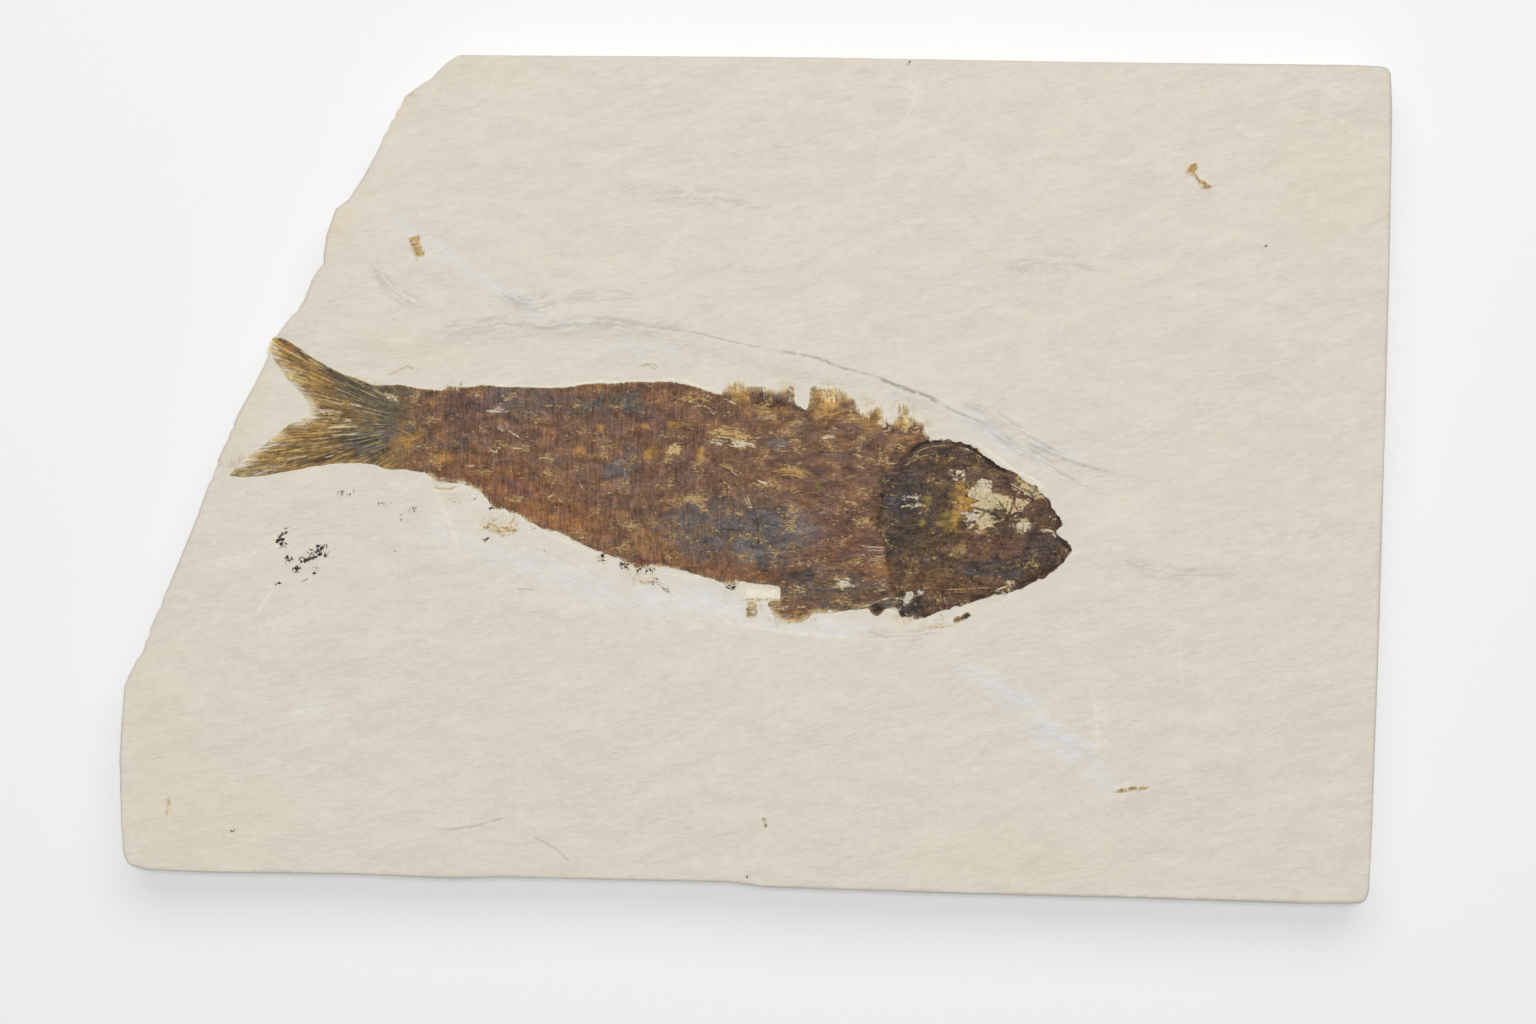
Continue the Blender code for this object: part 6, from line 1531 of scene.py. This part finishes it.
# Each flake: its outline, its ground paint, how much of it is left, and the blooms over it
FLAKES = {
    "pelvic_fin_remnant": (
        [
            (-1.5, -16.9), (-0.3, -17.0), (0.4, -17.5), (0.4, -18.1), (0.2, -19.3), (-0.7, -19.6),
            (-1.4, -19.5), (-1.5, -18.6),
        ], "olive_gold", 0.62, [
            (-0.1, -17.5, 0.5, 0.5, 0, "umber", 0.6), (-0.6, -18.8, 0.7, 0.6, 0, "khaki", 0.5),
        ],
    ),
    "anal_fin_remnant": (
        [
            (-38.4, -5.4), (-37.3, -5.8), (-36.3, -6.4), (-35.2, -6.5), (-34.1, -6.2), (-33.6, -6.6),
            (-33.2, -7.3), (-34.1, -7.7), (-35.5, -8.1), (-36.5, -7.5), (-38.2, -7.3), (-38.6, -6.1),
        ], "ochre", 0.58, [
            (-37.6, -6.4, 0.9, 0.5, -20, "gold", 0.7), (-35.4, -7.2, 1.4, 0.4, 20, "ochre", 0.8),
            (-34.2, -6.8, 0.5, 0.5, 0, "gold", 0.7), (-36.4, -6.9, 0.5, 0.4, 0, "cream", 0.8),
        ],
    ),
    "throat_bone": (
        [
            (27.6, -20.2), (27.7, -19.5), (28.2, -19.1), (28.7, -19.2), (29.4, -18.5), (30.0, -18.6),
            (30.4, -19.0), (30.0, -19.5), (29.2, -19.9), (28.2, -20.2),
        ], "dark_brown", 0.9, [
            (29.0, -19.3, 0.8, 0.35, 25, "amber", 0.85), (27.9, -19.9, 0.4, 0.3, 0, "umber", 0.6),
            (30.1, -18.8, 0.3, 0.2, 0, "straw", 0.6),
        ],
    ),
    "flake_above_back": (
        [
            (-16.3, 16.1), (-15.6, 16.5), (-14.9, 16.6), (-14.2, 16.4), (-13.7, 16.1), (-14.0, 15.6),
            (-14.3, 15.2), (-14.7, 15.8), (-15.2, 16.0), (-15.7, 15.8),
        ], "umber", 0.5, [
            (-15.4, 16.2, 0.4, 0.25, 0, "soot", 0.8), (-14.2, 16.0, 0.3, 0.3, 0, "umber", 0.8),
        ],
    ),
    "flake_upper_left": (
        [
            (-47.1, 34.7), (-46.9, 33.9), (-47.1, 33.4), (-46.7, 32.8), (-46.2, 31.2), (-47.2, 31.3),
            (-47.6, 30.4), (-47.9, 31.4), (-48.4, 32.4), (-48.8, 33.5), (-48.7, 34.0), (-47.8, 34.3),
        ], "ochre", 0.66, [
            (-48.2, 33.4, 0.6, 0.4, 0, "amber", 0.8), (-47.2, 33.9, 0.4, 0.6, 0, "umber", 0.6),
            (-46.9, 32.2, 0.5, 0.9, 20, "straw", 0.6), (-47.4, 31.6, 0.6, 0.5, 0, "amber", 0.6),
        ],
    ),
    "scale_pair_upper_right": (
        [
            (60.0, 43.4), (61.0, 44.3), (61.9, 44.6), (62.2, 43.8), (61.8, 42.9), (62.5, 42.2),
            (63.6, 41.6), (64.3, 41.1), (63.3, 40.5), (62.6, 40.6), (62.0, 41.7), (61.5, 42.4),
            (60.9, 42.7), (60.1, 43.0),
        ], "ochre", 0.68, [
            (61.4, 44.0, 0.7, 0.4, 30, "umber", 0.5), (60.7, 43.1, 0.7, 0.3, 10, "straw", 0.6),
            # The umber band across the scales' waist at (62.0, 42.4) is painted shadow
            (63.3, 41.1, 0.9, 0.5, -25, "umber", 0.55), (62.0, 42.4, 0.3, 1.2, -10, "umber", 0.6),
        ],
    ),
    "sliver_lower_right": (
        [
            (50.0, -43.7), (51.1, -43.3), (52.2, -43.1), (53.2, -43.0), (54.2, -42.9), (55.3, -43.1),
            (55.2, -43.5), (53.9, -43.7), (52.5, -43.8), (51.5, -44.1), (50.4, -44.0),
        ], "ochre", 0.7, [
            (52.8, -43.4, 0.9, 0.18, 25, "umber", 0.8), (51.2, -43.7, 0.8, 0.2, 5, "ochre", 0.7),
            (54.5, -43.2, 0.6, 0.2, 0, "sand", 0.8),
        ],
    ),
    "flake_low_centre": (
        [
            (0.6, -47.4), (1.2, -47.3), (1.7, -47.4), (1.5, -47.9), (1.7, -48.5), (1.6, -49.0),
            (1.0, -48.9), (0.9, -48.2), (0.8, -47.8),
        ], "umber", 0.55, [
            (1.2, -47.5, 0.4, 0.2, 0, "soot", 0.8), (1.4, -48.7, 0.25, 0.3, 0, "soot", 0.7),
        ],
    ),
}


def flake_film(x, y, depth):
    """Height of a flake's upper face: a thin film, proud of the stone, with a crumbled edge and face."""
    crumbs = layered_noise(x / 0.45, y / 0.45, 23.0)
    height = (RIM_DROP + FLAKE_HEIGHT) * smooth_step(depth + 0.1 * crumbs, -0.18, 0.15) - RIM_DROP
    return stone_surface(x, y) + height + 0.02 * crumbs * smooth_step(depth, 0.0, 0.3)


flake_finish = make_fish_finish()
flake_finish.name = "loose_scale_finish"
for node_name, (outline, ground, left_over, blooms) in FLAKES.items():
    flake_loop = rounded(np.array(outline))
    seat = stone_surface(*flake_loop.mean(axis=0)[:, None])[0] - FLAKE_SEAT
    flake_mesh = film_solid(flake_loop, FLAKE_CELL, flake_film, seat, FLAKE_BURIED)
    flake = add_film("dressed_" + node_name, flake_mesh, flake_finish)
    flake_x, flake_y = flake_mesh["points"][:, :2].T
    flake_ground = np.tile(paint_colour(ground), (len(flake_x), 1))
    give_film_fields(flake, flake_x, flake_y, flake_ground, blooms, {
        "bony": 0.0,
        "tail": 0.0,
        "cover": LEAST_COVER + (left_over - LEAST_COVER) * smooth_step(flake_mesh["depth"], -0.1, 0.35),
        "tuft": 0.5,
        "run": 0.5,
        "flecked": 0.8,
    })
    give_bake_map(flake, film_bake_map(flake_mesh, False))
    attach(flake, "root")
    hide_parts(node_name)

# ---------------------------------------------------------------------------------------
# The table, the light and the camera. A plain white table in weak light from all round,
# with a lamp high overhead, a large soft box beyond the fish's back, and a camera straight
# above.
# ---------------------------------------------------------------------------------------
TABLE_SIZE = 4.0
TABLE_WHITE = "F3F4F6"
SKY_STRENGTH = 0.21
SKY_COLOUR = (0.97, 0.985, 1.0, 1.0)
BOX_PLACE = (0.05, 0.45, 0.7)
BOX_SIZE = (0.8, 0.55)
BOX_POWER = 2.5
BOX_COLOUR = (1.0, 0.985, 0.96)
LAMP_PLACE = (0.0, 0.03, 1.25)
LAMP_SIZE = 0.25
LAMP_POWER = 8.2
CAMERA_HEIGHT = 0.62
VIEW_WIDTH = 0.2156
VIEW_CENTRE = (0.0017, -0.0046)
FACE_HEIGHT = SLAB_THICKNESS * MM
SENSOR_WIDTH = 36.0


def make_table():
    """A plane at the slab's foot, matt and nearly white."""
    half = TABLE_SIZE / 2
    mesh = bpy.data.meshes.new("white_table")
    corners = [(-half, -half, 0.0), (half, -half, 0.0), (half, half, 0.0), (-half, half, 0.0)]
    mesh.from_pydata(corners, [], [(0, 1, 2, 3)])
    material = bpy.data.materials.new("matt_white")
    material.use_nodes = True
    shader = material.node_tree.nodes["Principled BSDF"]
    shader.inputs["Base Color"].default_value = linear(TABLE_WHITE)
    shader.inputs["Roughness"].default_value = 0.9
    shader.inputs["Specular IOR Level"].default_value = 0.1
    mesh.materials.append(material)
    table = bpy.data.objects.new("white_table", mesh)
    bpy.context.scene.collection.objects.link(table)
    return table


make_table()
world = bpy.data.worlds.new("open_sky")
world.use_nodes = True
sky = world.node_tree.nodes["Background"]
sky.inputs["Color"].default_value = SKY_COLOUR
sky.inputs["Strength"].default_value = SKY_STRENGTH
bpy.context.scene.world = world
box_light = bpy.data.lights.new("soft_box", "AREA")
box_light.shape = "RECTANGLE"
box_light.size, box_light.size_y = BOX_SIZE
box_light.energy = BOX_POWER
box_light.color = BOX_COLOUR
soft_box = bpy.data.objects.new("soft_box", box_light)
soft_box.location = BOX_PLACE
soft_box.rotation_euler = (-np.arctan2(BOX_PLACE[1], BOX_PLACE[2]), 0.0, 0.0)
bpy.context.scene.collection.objects.link(soft_box)
lamp_light = bpy.data.lights.new("overhead_lamp", "AREA")
lamp_light.shape = "DISK"
lamp_light.size = LAMP_SIZE
lamp_light.energy = LAMP_POWER
overhead_lamp = bpy.data.objects.new("overhead_lamp", lamp_light)
overhead_lamp.location = LAMP_PLACE
bpy.context.scene.collection.objects.link(overhead_lamp)
lens = bpy.data.cameras.new("overhead_camera")
lens.sensor_width = SENSOR_WIDTH
lens.lens = SENSOR_WIDTH * CAMERA_HEIGHT / VIEW_WIDTH
camera = bpy.data.objects.new("overhead_camera", lens)
camera.location = (*VIEW_CENTRE, FACE_HEIGHT + CAMERA_HEIGHT)
bpy.context.scene.collection.objects.link(camera)
bpy.context.scene.camera = camera
bpy.context.scene.view_settings.view_transform = "Standard"
